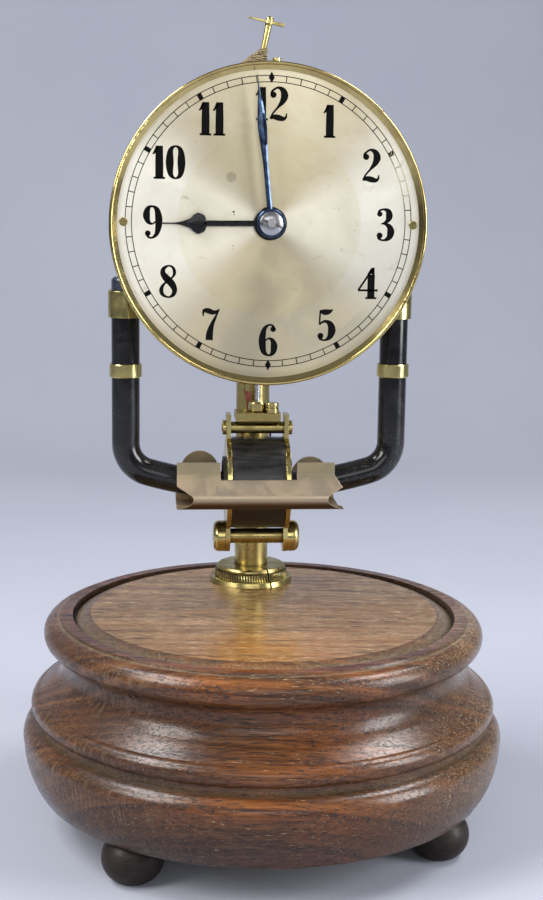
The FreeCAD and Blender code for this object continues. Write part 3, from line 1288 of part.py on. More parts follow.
def make_bridge():
    s = size
    low = top_rod_height() + s.topRodRadius
    high = low + s.bridgeThick
    x, y = s.rodShift, s.magnetBack
    deep = s.bridgeDepth * 0.5
    bridge = doc.addObject("Part::Common", "bridge_block")
    bridge.Base = plate("bridge_face", round_bottomed(s.bridgeHalf, low, high, s.bridgeRound), s.bridgeDepth,
                        (x, y - deep, 0))
    bridge.Tool = plate("bridge_side", round_bottomed(deep, low, high, s.bridgeRound), s.bridgeHalf * 2,
                        (x - s.bridgeHalf, y, 0), plane="YZ_Plane")
    terminal_x, terminal_y = x + s.terminalShift, y - s.terminalForward
    holes = [cylinder("bridge_rod_hole", s.rodRadius, s.bridgeThick + 2, (x, y, low - 1)),
             cylinder("bridge_terminal_hole", s.terminalStem, s.bridgeThick + 2,
                      (terminal_x, terminal_y, low - 1))]
    bob_node(cut("bridge", bridge, holes), "bridge_plate")

    gap, radius = s.runGap, s.ratingRadius
    node(lathe("rating_body", [
        (s.rodRadius + gap, high + gap), (radius - 0.4, high + gap), (radius, high + gap + 0.4),
        (radius, high + s.ratingHeight - 0.6), (radius - 0.6, high + s.ratingHeight),
        (s.rodRadius + gap, high + s.ratingHeight)], (x, y, 0)), "rating_nut")

    radius, top = s.terminalRadius, high + s.terminalHeight
    waist = high + s.terminalHeight * 0.5
    bob_node(lathe("terminal_body", [
        (0, low), (s.terminalStem, low), (s.terminalStem, high), (radius, high), (radius, waist - 0.35),
        (radius - 0.45, waist), (radius, waist + 0.35), (radius, top - 0.7),
        ((radius - 0.2, top - 0.2), (radius - 0.8, top)), (0, top)],
        (terminal_x, terminal_y, 0)), "terminal_screw")
    bob_node(plate("flag_body", [
        (-3.8, high), (-1.6, high), (-2.2, high + 7.0), (-5.0, high + 8.0)], s.flagThick,
        (x, y + s.ratingRadius + 0.35, 0)), "fibre_flag")


def make_coil_leads():
    """Two short wires rise from under the coil's wrap to the bridge."""
    s = size
    x, y, wrap_top = s.rodShift, s.magnetBack, coil_height() + s.wrapRadius
    rise = s.topRodRise + s.topRodRadius
    sunk = 3
    leads = [cylinder(f"coil_lead_blank_{side}", s.coilLeadRadius, rise + sunk,
                      (x + side * s.coilLeadShift, y + s.coilLeadBack, wrap_top - sunk)) for side in (-1, 1)]
    drum = cylinder("coil_drum", s.wrapRadius + 0.01, s.coilHalf * 2, (x - s.coilHalf, y, coil_height()), "x")
    bob_node(cut("coil_lead_set", group("coil_lead_pair", leads), [drum]), "coil_leads")


# Guard round the magnet bar

def touch(centre, radius, point, side):
    """Where a line from a point touches a circle, on the given side of it."""
    across, rise = point[0] - centre[0], point[1] - centre[1]
    square = across * across + rise * rise
    near = radius * radius / square
    beside = side * radius * root(square - radius * radius) / square
    return across * near - rise * beside, rise * near + across * beside


def guard_section():
    """The sheet's outline from the side, with the heights of its lip and of its rolled nose."""
    s = size
    t, top = s.guardSheet, guard_top()
    wall_in = s.magnetBack - s.sideRadius - s.guardGap
    wall = wall_in - t
    roll = (wall - s.noseForward, top - s.noseDrop)
    lip = s.bowLow - s.barRadius - s.lipGap - t
    lip_front = s.magnetBack - s.lipBend
    wing = s.magnetBack + s.barRadius + s.wingGap
    wing_top = top - s.wingDropLeft
    upper = touch(roll, s.noseRadius, (wall, top - s.guardKink), 1)
    lower = touch(roll, s.noseRadius, (lip_front, lip), -1)
    inside = 1 - t / s.noseRadius
    outer = [
        (wall_in, top), (wall, top), (wall, top - s.guardKink), (roll[0] + upper[0], roll[1] + upper[1]),
        ((roll[0] - s.noseRadius, roll[1]), (roll[0] + lower[0], roll[1] + lower[1])),
        (lip_front, lip), (wing - 1.4, lip), ((wing + t - 0.7, lip + 0.7), (wing + t, lip + 2.4)),
        (wing + t, wing_top)]
    inner = [
        (wing, wing_top), (wing, lip + 2.4), ((wing - 0.4, lip + t + 0.4), (wing - 1.4, lip + t)),
        (lip_front + t * 0.08, lip + t), (roll[0] + lower[0] * inside, roll[1] + lower[1] * inside),
        ((roll[0] - s.noseRadius + t, roll[1]), (roll[0] + upper[0] * inside, roll[1] + upper[1] * inside)),
        (wall_in, top - s.guardKink - t * 0.32)]
    return outer + inner, wall, wing, lip


def guard_top():
    return size.bowLow + size.guardRise


def make_guard():
    """A bent sheet: ears in front, a rolled nose, a lip under the bar and round-topped wings behind."""
    s = size
    outline, wall, wing, lip = guard_section()
    x, t, top = s.rodShift, s.guardSheet, guard_top()
    sheet_body = plate("guard_sheet", outline, s.guardHalf * 2, (x - s.guardHalf, 0, 0), plane="YZ_Plane")
    far, over = s.guardHalf + 5, top + 5
    front, behind = wall - 20, wing + 20
    coil_gap = s.coilHalf + s.bobbinEnd
    tools = [
        block("guard_slot", (x - s.guardSlotLeft, x + s.guardSlotRight), (front, wall + t + 1),
              (top - s.guardSlotDepth, over)),
        block("guard_coil_gap", (x - coil_gap, x + coil_gap), (wall + t, behind), (lip - 10, over))]
    # the right ear falls straight, then slopes out to the full width
    tools.append(plate("guard_ear_slope", [
        (s.guardEarRight, over), (s.guardEarRight, top - s.guardEarDrop * 0.5),
        (s.guardHalf, top - s.guardEarDrop), (far, top - s.guardEarDrop), (far, over)],
        sized(30), (x, front, 0)))
    for label, side in (("left", -1), ("right", 1)):
        tools.append(guard_notch(label, side, far, front, wall))
        tools.append(wing_trim(label, side, far, wing, lip, over))
    bob_node(cut("guard", sheet_body, tools), "magnet_guard")


def guard_notch(label, side, far, front, wall):
    """A pointed notch in one end of the rolled nose: straight above, curved below."""
    s = size
    tip = s.guardHalf - s.guardNotch
    level = guard_top() - s.notchDrop
    return plate(f"guard_notch_{label}", [
        (side * far, level - 5.25), (side * s.guardHalf, level - 5.25),
        ((side * (tip + 2.1), level - 4.5), (side * (tip + 0.1), level - 3.2)),
        ((side * (tip - 0.6), level - 1.7), (side * tip, level)),
        (side * far, level + (far - tip) * s.notchSlope)],
        wall - s.noseForward - front, (s.rodShift, front, 0))


def wing_trim(label, side, far, wing, lip, over):
    """Leaves one wing, narrower than the lip and round on top."""
    s = size
    reach, radius = s.guardWingReach, s.guardWingRadius
    wing_top = guard_top() - (s.wingDropLeft if side < 0 else s.wingDropRight)
    shoulder, sill = wing_top - radius, lip + 4.5
    return plate(f"guard_wing_trim_{label}", [
        (side * (reach - radius), sill), (side * (reach - radius), shoulder),
        ((side * reach, wing_top), (side * (reach + radius), shoulder)),
        (side * (reach + radius), sill), (side * far, sill), (side * far, over),
        (side * 0.5, over), (side * 0.5, sill)], sized(10), (s.rodShift, wing - 4, 0))


def check_and_write():
    doc.recompute()
    broken = [item.Name for item in doc.Objects if "Invalid" in item.State or "Error" in item.State]
    if broken:
        raise RuntimeError(f"objects that failed: {broken}")
    for item in nodes:
        shape = item.Shape
        if shape.isNull() or not shape.isValid() or not shape.Solids:
            raise RuntimeError(f"bad shape in {item.Label}")
        shape.exportStep(f"parts/{item.Label}.step")
        print(f"{item.Label:24s} solids {len(shape.Solids)}  volume {shape.Volume:9.1f}")
    print(len(nodes), "nodes")


make_base()
make_feet()
node(group("base_screw_set", make_cover() + make_power()), "base_screws")
make_leads()
make_column()
make_magnet()
make_frame()
make_cock()
make_winder()
make_heap()
make_plates()
make_dial()
make_hands()
make_wheels()
make_rod()
make_coil()
make_guard()
check_and_write()
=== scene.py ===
import math
import random

import bpy
from mathutils import Matrix, Vector


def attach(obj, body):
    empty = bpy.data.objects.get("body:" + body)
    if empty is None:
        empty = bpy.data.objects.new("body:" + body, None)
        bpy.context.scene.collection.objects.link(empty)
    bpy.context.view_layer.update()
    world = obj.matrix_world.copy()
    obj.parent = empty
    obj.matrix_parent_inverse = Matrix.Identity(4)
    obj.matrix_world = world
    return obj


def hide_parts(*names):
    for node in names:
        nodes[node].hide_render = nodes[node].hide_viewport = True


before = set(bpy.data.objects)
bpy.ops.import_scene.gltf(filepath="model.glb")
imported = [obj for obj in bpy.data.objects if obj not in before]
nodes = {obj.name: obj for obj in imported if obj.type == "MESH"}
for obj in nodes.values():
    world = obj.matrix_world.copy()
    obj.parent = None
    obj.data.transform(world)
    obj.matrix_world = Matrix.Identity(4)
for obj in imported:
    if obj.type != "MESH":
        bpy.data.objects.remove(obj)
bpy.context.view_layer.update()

mm = 0.001
dialZ = 232.6  # height of the hands' axis
coilZ = 129.8  # height of the coil's axis
rodX, rodY = -1.15, 20.5  # where the pendulum hangs
bobTurn = math.radians(2.4)  # the bob hangs turned a little on its silk
columnY = 47.2  # how far back the column stands
fullTurn = 6.28
random.seed(7)


# Geometry helpers, all in millimetres

def smoothPath(points, closed=False, perSpan=8):
    count = len(points)
    result = []
    for span in range(count if closed else count - 1):
        four = []
        for spot in range(span - 1, span + 3):
            four.append(points[spot % count if closed else min(max(spot, 0), count - 1)])
        for step in range(perSpan):
            share = step / perSpan
            result.append(tuple(
                0.5 * (2 * b + (c - a) * share + (2 * a - 5 * b + 4 * c - d) * share ** 2
                       + (3 * b - a - 3 * c + d) * share ** 3)
                for a, b, c, d in zip(*four)))
    if not closed:
        result.append(tuple(points[-1]))
    return result


def roundAngles(steps):
    return [2 * math.pi * step / steps for step in range(steps)]


def addObject(name, data):
    item = bpy.data.objects.new(name, data)
    bpy.context.scene.collection.objects.link(item)
    return item


def addPiece(name, data, material, body):
    data.materials.append(material)
    piece = addObject(name, data)
    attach(piece, body)
    return piece


def makePiece(name, vertices, faces, material, body, smooth=40):
    mesh = bpy.data.meshes.new(name)
    mesh.from_pydata([Vector(vertex) * mm for vertex in vertices], [], faces)
    mesh.update()
    mesh.validate()
    if smooth:
        shadeSmooth(mesh, smooth)
    return addPiece(name, mesh, material, body)


def shadeSmooth(mesh, angle):
    limit = math.radians(angle)
    edges = {}
    for face in mesh.polygons:
        face.use_smooth = True
        for key in face.edge_keys:
            edges.setdefault(key, []).append(face.normal.copy())
    sharp = mesh.attributes.new("sharp_edge", "BOOLEAN", "EDGE")
    for index, edge in enumerate(mesh.edges):
        around = edges.get(tuple(sorted(edge.vertices)), [])
        sharp.data[index].value = len(around) == 2 and around[0].angle(around[1], 0) > limit


def makeThread(name, paths, thick, material, body):
    data = bpy.data.curves.new(name, "CURVE")
    data.dimensions = "3D"
    data.bevel_depth, data.bevel_resolution, data.resolution_u = thick / 2 * mm, 2, 6
    data.use_fill_caps = True
    for path in paths:
        spline = data.splines.new("NURBS")
        spline.points.add(len(path) - 1)
        for point, spot in zip(spline.points, path):
            point.co = (*(Vector(spot) * mm), 1)
        spline.order_u = 3
        spline.use_endpoint_u = True
    return addPiece(name, data, material, body)


# Node network helpers

class NodeNet:
    def __init__(self, tree):
        self.tree = tree

    def add(self, kind, inputs=None, **settings):
        item = self.tree.nodes.new("ShaderNode" + kind)
        for name, value in settings.items():
            setattr(item, name, value)
        for name, value in (inputs or {}).items():
            self.plug(item.inputs[name], value)
        return item

    def plug(self, socket, value):
        if isinstance(value, bpy.types.NodeSocket):
            self.tree.links.new(value, socket)
        elif socket.type == "RGBA" and len(value) == 3:
            socket.default_value = (*value, 1)
        else:
            socket.default_value = value

    def scale(self, vector, factor):
        return self.add("VectorMath", {0: vector, 3: factor}, operation="SCALE").outputs[0]

    def place(self):  # where on the piece, in millimetres
        return self.scale(self.add("TexCoord").outputs["Object"], 1000.0)

    def parts(self, vector, axes="xyz"):
        outputs = self.add("SeparateXYZ", {0: vector}).outputs
        return [outputs["xyz".index(axis)] for axis in axes]

    def facing(self, axes):
        return self.parts(self.add("NewGeometry").outputs["Normal"], axes)

    def flat(self, across, along):
        return self.add("CombineXYZ", {0: across, 1: along}).outputs[0]

    def stretch(self, vector, scale, rotation=(0, 0, 0), shift=(0, 0, 0)):
        return self.add("Mapping", {"Vector": vector, "Scale": scale, "Rotation": rotation,
                                    "Location": shift}).outputs[0]

    def noise(self, vector, scale=1.0, detail=4.0, rough=0.55, warp=0.0):
        return self.add("TexNoise", {"Vector": vector, "Scale": scale, "Detail": detail,
                                     "Roughness": rough, "Distortion": warp}).outputs[0]

    def grain(self, vector, scale, detail, rough, warp=0.0, shift=(0, 0, 0)):
        return self.noise(self.stretch(vector, scale, shift=shift), 1.0, detail, rough, warp)

    def math(self, operation, *values):
        item = self.add("Math", operation=operation)
        for index, value in enumerate(values):
            self.plug(item.inputs[index], value)
        return item.outputs[0]

    def times(self, *values):
        total = values[0]
        for value in values[1:]:
            total = self.math("MULTIPLY", total, value)
        return total

    def plus(self, *values):
        total = values[0]
        for value in values[1:]:
            total = self.math("ADD", total, value)
        return total

    def minus(self, first, second):
        return self.math("SUBTRACT", first, second)

    def larger(self, first, second):
        return self.math("MAXIMUM", first, second)

    def size(self, value):
        return self.math("ABSOLUTE", value)

    def length(self, first, second):
        return self.math("SQRT", self.plus(self.times(first, first), self.times(second, second)))

    def span(self, value, low, high, toLow=0.0, toHigh=1.0):
        return self.add("MapRange", {0: value, 1: low, 2: high, 3: toLow, 4: toHigh},
                        interpolation_type="SMOOTHSTEP").outputs[0]

    def band(self, value, low, high, soft):
        return self.times(self.span(value, low - soft, low + soft),
                          self.span(value, high + soft, high - soft))

    def blend(self, factor, first, second, mode="MIX"):
        item = self.add("Mix", data_type="RGBA", blend_type=mode)
        for index, value in ((0, factor), (6, first), (7, second)):
            self.plug(item.inputs[index], value)
        return item.outputs[2]

    def cover(self, mask, share, first, second):
        return self.blend(self.times(mask, share), first, second)

    def tint(self, factor, colour, shade):
        return self.blend(factor, colour, self.blend(1.0, colour, shade, "MULTIPLY"))

    def ramp(self, value, stops):
        item = self.add("ValToRGB", {0: value})
        while len(item.color_ramp.elements) < len(stops):
            item.color_ramp.elements.new(0.5)
        for element, (position, colour) in zip(item.color_ramp.elements, stops):
            element.position = position
            element.color = (*colour, 1)
        return item.outputs[0]

    def shine(self, marks, rough):  # roughness from its clean value to its dull one
        return self.span(marks["Blotches"], 0, 1, *rough)

    def bump(self, height, depth, strength=1.0, normal=None):
        inputs = {"Height": height, "Distance": depth * mm, "Strength": strength}
        if normal is not None:
            inputs["Normal"] = normal
        return self.add("Bump", inputs).outputs[0]

    def rounded(self, radius):
        return self.add("Bevel", {"Radius": radius * mm}, samples=4).outputs[0]

    def group(self, tree, **inputs):
        item = self.add("Group")
        item.node_tree = tree
        for name, value in inputs.items():
            self.plug(item.inputs[name], value)
        return item.outputs


def newGroup(name, inputs, outputs):
    tree = bpy.data.node_groups.new(name, "ShaderNodeTree")
    for way, entries in (("INPUT", inputs), ("OUTPUT", outputs)):
        for label, (shape, value) in entries.items():
            socket = tree.interface.new_socket(label, in_out=way, socket_type="NodeSocket" + shape)
            if value is not None:
                socket.default_value = value
    source = tree.nodes.new("NodeGroupInput")
    sink = tree.nodes.new("NodeGroupOutput")
    return tree, NodeNet(tree), source.outputs, sink.inputs


def tone(red, green, blue):
    return tuple((value / 255 / 12.92) if value <= 10 else ((value / 255 + 0.055) / 1.055) ** 2.4
                 for value in (red, green, blue))


def darker(colour, share):
    return tuple(channel * share for channel in colour)


# Shared effects

def makeScratches():
    tree, net, source, sink = newGroup(
        "fineScratches", {"Scale": ("Float", 1.0), "Amount": ("Float", 0.5)},
        {"Mask": ("Float", None), "Height": ("Float", None)})
    place = net.place()
    total = 0.0
    for turn, shift in ((0.35, 0), (1.25, 31), (2.3, 67), (2.9, 93)):
        thin = net.stretch(place, (0.12, 0.12, 2.6), (turn, turn * 0.7, turn * 1.9),
                           (shift, shift, 0))
        sized = net.scale(thin, source["Scale"])
        line = net.span(net.noise(sized, 1.0, 3.0, 0.6, 0.3), 0.68, 0.74)
        total = net.larger(total, line)
    mask = net.times(total, source["Amount"])
    net.plug(sink["Mask"], mask)
    net.plug(sink["Height"], net.minus(1.0, mask))
    return tree


def makeWear():
    tree, net, source, sink = newGroup(
        "marksAndCornerShade", {"Blotch": ("Float", 0.12), "Corner": ("Float", 3.0)},
        {"Blotches": ("Float", None), "Specks": ("Float", None), "Corners": ("Float", None)})
    place = net.place()
    blotchy = net.noise(net.scale(place, source["Blotch"]), 1.0, 6.0, 0.62, 0.6)
    net.plug(sink["Blotches"], net.span(blotchy, 0.35, 0.68))
    net.plug(sink["Specks"], net.span(net.noise(place, 2.4, 5.0, 0.7), 0.63, 0.72))
    # Corners: ambient occlusion over the given reach, used by the materials to paint shade,
    # together with grime, into corners and recesses
    reach = net.times(source["Corner"], mm)
    shade = net.add("AmbientOcclusion", {"Distance": reach}, samples=6).outputs["AO"]
    net.plug(sink["Corners"], net.span(shade, 0.85, 0.35))
    return tree


scratches = makeScratches()
marksAndShade = makeWear()
print("shared effects ready")


# Materials

def newMaterial(name):
    material = bpy.data.materials.new(name)
    material.use_nodes = True
    material.node_tree.nodes.clear()
    return material, NodeNet(material.node_tree)


def settle(net, **inputs):
    shader = net.add("BsdfPrincipled")
    for name, value in inputs.items():
        net.plug(shader.inputs[name.replace("_", " ")], value)
    net.add("OutputMaterial", {"Surface": shader.outputs[0]})


# Metals: clean and dull tones, roughness from clean to dull, edge rounding, scratches,
# how far corners reach and how much grime and painted shade they hold
metals = {
    "brightBrass": dict(clean=tone(232, 218, 148), dull=tone(190, 172, 104), rough=(0.14, 0.24),
                        edge=0.25, scratch=0.3, corner=1.6, grimeAndShade=0.75),
    "agedBrass": dict(clean=tone(184, 168, 108), dull=tone(124, 108, 66), rough=(0.22, 0.4),
                      edge=0.2, scratch=0.5, corner=2.2, grimeAndShade=0.8),
    "wornBrass": dict(clean=tone(206, 190, 126), dull=tone(150, 130, 84), rough=(0.16, 0.32),
                      edge=0.35, scratch=0.5, corner=1.2, grimeAndShade=0.5),
    "bezelBrass": dict(clean=tone(192, 174, 116), dull=tone(150, 130, 84), rough=(0.12, 0.2),
                       edge=0.0, scratch=0.2, corner=1.0, grimeAndShade=0.95, relief=0.0),
    "brightSteel": dict(clean=tone(206, 206, 208), dull=tone(150, 148, 146), rough=(0.18, 0.34),
                        edge=0.15, scratch=0.5, corner=1.5, grimeAndShade=0.8),
    "greySteel": dict(clean=tone(178, 178, 180), dull=tone(126, 124, 122), rough=(0.2, 0.34),
                      edge=0.2, scratch=0.4, corner=1.5, grimeAndShade=0.8),
}


def makeMetal(name, look):
    material, net = newMaterial(name)
    marks = net.group(marksAndShade, Corner=look["corner"])
    lines = net.group(scratches, Amount=look["scratch"])
    dull = look["dull"]
    base = net.cover(marks["Blotches"], 0.55, look["clean"], dull)
    base = net.cover(marks["Specks"], 0.3, base, darker(dull, 0.5))
    # corners and recesses darkened nearly to black: grime and painted shade
    base = net.cover(marks["Corners"], look["grimeAndShade"], base, darker(dull, 0.12))
    shine = net.plus(net.shine(marks, look["rough"]), net.times(lines["Mask"], 0.1))
    around = net.rounded(look["edge"]) if look["edge"] else None
    normal = net.bump(lines["Height"], 0.015, look.get("relief", 0.25), around)
    settle(net, Base_Color=base, Metallic=1.0, Roughness=shine, Normal=normal)
    return material


oakLook = {
    "side": [(0.3, tone(38, 22, 13)), (0.46, tone(76, 46, 27)), (0.58, tone(114, 76, 46)),
             (0.74, tone(152, 108, 70))],
    "top": [(0.3, tone(92, 62, 30)), (0.48, tone(128, 93, 50)), (0.7, tone(160, 123, 74))],
    "pore": tone(26, 15, 9),
    "filled": tone(206, 182, 140),  # pores filled with pale wax and dust
    # corner is the colour of the painted shade in the cove and recesses
    "dust": tone(124, 116, 92), "corner": tone(26, 16, 11), "discEdge": tone(60, 38, 24),
    "honeyAndLightTint": (1.36, 1.06, 0.7),  # honey at the front, partly painted light
    "fibreTint": (0.6, 0.54, 0.48), "blotchTint": (0.5, 0.43, 0.4),
    "endGrainAndShadeTint": (0.34, 0.31, 0.32), "grooveTint": (0.7, 0.62, 0.56), "lipTint": (0.6, 0.36, 0.34),
    "grainTurn": math.radians(7), "gloss": (0.2, 0.36),
    # the turned profile: radii of disc, groove and lip, and where its dusty quirks are
    "disc": 67.6, "groove": 74.4, "lip": 78.6,
    "grooveHeights": (78.0, 83.1), "lipQuirk": (79.1, 80.3), "lowQuirk": (42.3, 44.6),
}


def makeOak(look):
    material, net = newMaterial("turnedOak")
    room = net.place()
    x, y, z = net.parts(room)
    radius = net.length(x, y)
    place = net.stretch(room, (1, 1, 1), (0, 0, look["grainTurn"]))
    deep, high = net.parts(place, "yz")
    sideways, upward = net.facing("xz")
    endGrain = net.size(sideways)
    up = net.span(upward, 0.6, 0.9)
    disc, outer = look["disc"], look["groove"]

    # growth rings, fibres and broad tones, lighter on the disc
    tones = net.grain(place, (0.012, 0.035, 0.05), 3.0, 0.5)
    bend = net.grain(place, (0.006, 0.012, 0.012), 2.0, 0.5)
    layers = net.plus(net.times(high, 0.3), net.times(deep, 0.17), net.times(bend, 7.0))
    years = net.add("TexNoise", {"W": layers, "Scale": 1.0, "Detail": 3.0, "Roughness": 0.6},
                    noise_dimensions="1D").outputs[0]
    fibre = net.grain(place, (0.03, 0.8, 1.1), 7.0, 0.75, 0.1)
    fine = net.grain(place, (0.14, 4.2, 4.6), 3.0, 0.6)
    mixed = net.plus(net.times(years, 0.3), net.times(fibre, 0.5), net.times(tones, 0.22))
    onDisc = net.times(up, net.span(radius, disc + 0.3, disc - 0.3), net.span(z, 80.0, 82.0))
    colour = net.blend(onDisc, net.ramp(mixed, look["side"]), net.ramp(mixed, look["top"]))
    # warmer and a little lighter at the front centre: the wood's honey tone and painted light
    honeyAndFrontLight = net.times(net.span(tones, 0.42, 0.62), net.span(net.size(x), 62.0, 20.0),
                     net.span(y, 0.0, -40.0))
    colour = net.tint(net.times(honeyAndFrontLight, 0.75), colour, look["honeyAndLightTint"])
    colour = net.tint(net.times(fine, 0.45), colour, look["fibreTint"])

    # open pores, pores filled with wax, and the pale rays on end grain and disc
    early = net.span(years, 0.54, 0.34)
    pores = net.grain(place, (0.1, 2.1, 2.4), 2.0, 0.5, shift=(7, 3, 1))
    pore = net.span(net.plus(pores, net.times(early, 0.06)), 0.565, 0.64)
    colour = net.cover(pore, 0.85, colour, look["pore"])
    waxed = net.grain(place, (0.17, 2.6, 2.6), 3.0, 0.6, shift=(40, 13, 5))
    strong = net.plus(
        net.times(net.span(x, 25.0, 80.0), 0.1),
        net.times(net.span(z, 40.0, 28.0), 0.04),
        net.times(net.span(radius, 66.0, 69.0), net.span(z, 77.0, 79.0), 0.03),
        net.times(early, 0.02))
    filled = net.span(net.plus(waxed, strong), 0.665, 0.72)
    rays = net.grain(place, (0.22, 3.4, 0.11), 2.0, 0.5, shift=(3, 90, 8))
    rows = net.span(net.grain(place, (0.004, 0.3, 0.0), 1.0, 0.5), 0.42, 0.56)
    rayShown = net.larger(net.times(net.span(endGrain, 0.35, 0.8), 0.3), net.times(onDisc, rows))
    ray = net.times(net.span(rays, 0.56, 0.64), rayShown)
    pale = net.larger(net.times(filled, 0.65), net.times(ray, 0.75))
    colour = net.blend(pale, colour, look["filled"])

    # handling marks; darker low down, grime and painted shade together, and darker on the ends of
    # the grain; painted shade in the recesses
    marks = net.group(marksAndShade, Blotch=0.03, Corner=15.0)
    colour = net.tint(net.times(marks["Blotches"], 0.4), colour, look["blotchTint"])
    endGrainAndLowShade = net.larger(net.times(net.span(z, 46.0, 18.0), 0.85), net.times(endGrain, 0.45))
    colour = net.tint(endGrainAndLowShade, colour, look["endGrainAndShadeTint"])
    # painted shade in the cove and under the mouldings, from ambient occlusion over 15 mm
    colour = net.cover(marks["Corners"], 0.7, colour, look["corner"])

    # dust in the groove and the quirks, a dark line round the disc and a redder lip
    dent = net.times(net.band(radius, disc, outer, 0.2),
                     net.band(z, *look["grooveHeights"], 0.3),
                     net.span(upward, 0.1, 0.3))
    colour = net.tint(net.times(dent, 0.5), colour, look["grooveTint"])
    groove = net.times(dent, net.span(radius, disc, outer - 1.0, 0.35, 1.0))
    lipQuirk = net.times(net.band(radius, *look["lipQuirk"], 0.4), net.span(z, 80.0, 81.0))
    lowQuirk = net.times(net.band(z, *look["lowQuirk"], 0.7), net.span(radius, 91.5, 88.0))
    dusty = net.plus(net.times(groove, 0.75), net.times(lipQuirk, 0.9), net.times(lowQuirk, 0.4))
    ragged = net.noise(room, 1.3, 7.0, 0.75)
    dusty = net.times(dusty, net.span(ragged, 0.36, 0.66))
    colour = net.blend(net.math("MINIMUM", dusty, 0.85), colour, look["dust"])
    edge = net.times(net.band(radius, disc - 0.25, disc + 0.25, 0.15), up)
    colour = net.cover(edge, 0.55, colour, look["discEdge"])
    lip = net.times(net.band(radius, outer, look["lip"], 0.3), net.span(z, 81.0, 82.2))
    colour = net.tint(net.times(lip, 0.45), colour, look["lipTint"])

    shine = net.plus(net.shine(marks, look["gloss"]), net.times(pore, 0.2), net.times(dusty, 0.35))
    turning = net.grain(room, (0.01, 0.01, 1.6), 2.0, 0.5)
    relief = net.plus(net.times(fibre, 0.4), net.times(turning, 0.25),
                      net.times(pore, -1.0), net.times(fine, 0.25))
    normal = net.bump(relief, 0.13, 0.55, net.rounded(0.5))
    settle(net, Base_Color=colour, Roughness=shine, Normal=normal, Specular_IOR_Level=0.3,
           Coat_Weight=0.3, Coat_Roughness=0.2, Coat_IOR=1.42)
    return material


enamelLook = {
    "clean": tone(14, 14, 15), "dull": tone(26, 26, 28), "bare": tone(128, 122, 112),
    "stub": tone(96, 104, 118), "stubHeight": 206.2,  # the arms' unpainted tips
    "gloss": (0.16, 0.3),
    # where the bow is worn: from and to across, from and to in height, strength
    "bends": [(30.0, 38.0, 160.0, 138.0, 0.7), (-30.0, -38.0, 150.0, 130.0, 0.3)],
}


def makeEnamel(look):
    material, net = newMaterial("blackEnamel")
    place = net.place()
    x, z = net.parts(place, "xz")
    marks = net.group(marksAndShade, Blotch=0.09, Corner=3.0)
    lines = net.group(scratches, Scale=0.8, Amount=0.5)
    bends = [net.times(net.times(net.span(x, *ends[:2]), net.span(z, *ends[2:])), much)
             for *ends, much in look["bends"]]
    rubbed = net.span(net.noise(place, 1.1, 9.0, 0.8), 0.57, 0.63)
    worn = net.times(rubbed, net.plus(*bends))
    chips = net.span(net.noise(place, 0.55, 6.0, 0.7), 0.72, 0.74)
    bare = net.larger(worn, net.times(chips, 0.5))
    colour = net.blend(marks["Blotches"], look["clean"], look["dull"])
    colour = net.blend(bare, colour, look["bare"])
    stub = net.math("GREATER_THAN", z, look["stubHeight"])
    colour = net.blend(stub, colour, look["stub"])
    shine = net.plus(net.shine(marks, look["gloss"]), net.times(lines["Mask"], 0.2),
                     net.times(bare, 0.25))
    relief = net.plus(net.noise(place, 0.35, 3.0, 0.5), net.times(bare, -0.3))
    normal = net.bump(relief, 0.08, 0.35, net.rounded(0.4))
    settle(net, Base_Color=colour, Metallic=net.times(stub, 0.9), Roughness=shine,
           Normal=normal, Specular_IOR_Level=0.3, Coat_Weight=0.3, Coat_Roughness=0.1)
    return material


dialLook = {
    "silver": tone(250, 245, 228), "centre": tone(246, 239, 216), "goldenTarnishAndShade": tone(160, 144, 98),
    "stain": tone(150, 134, 92), "speck": tone(44, 37, 30), "rough": (0.3, 0.4), "metal": 0.78,
    "centreRadius": 34.5, "edgeRadii": (55.0, 57.0),
    # small marks on the face: across, up, radius, strength
    "marks": [(-13.6, 4.1, 0.5, 1.0), (-13.4, 3.1, 0.3, 0.8), (-14.6, 16.8, 2.4, 0.3),
              (-13.8, -8.4, 0.35, 0.6), (-13.5, -9.6, 0.3, 0.5), (20.5, -24.0, 0.3, 0.4),
              (-6.0, -29.0, 0.3, 0.5)],
}


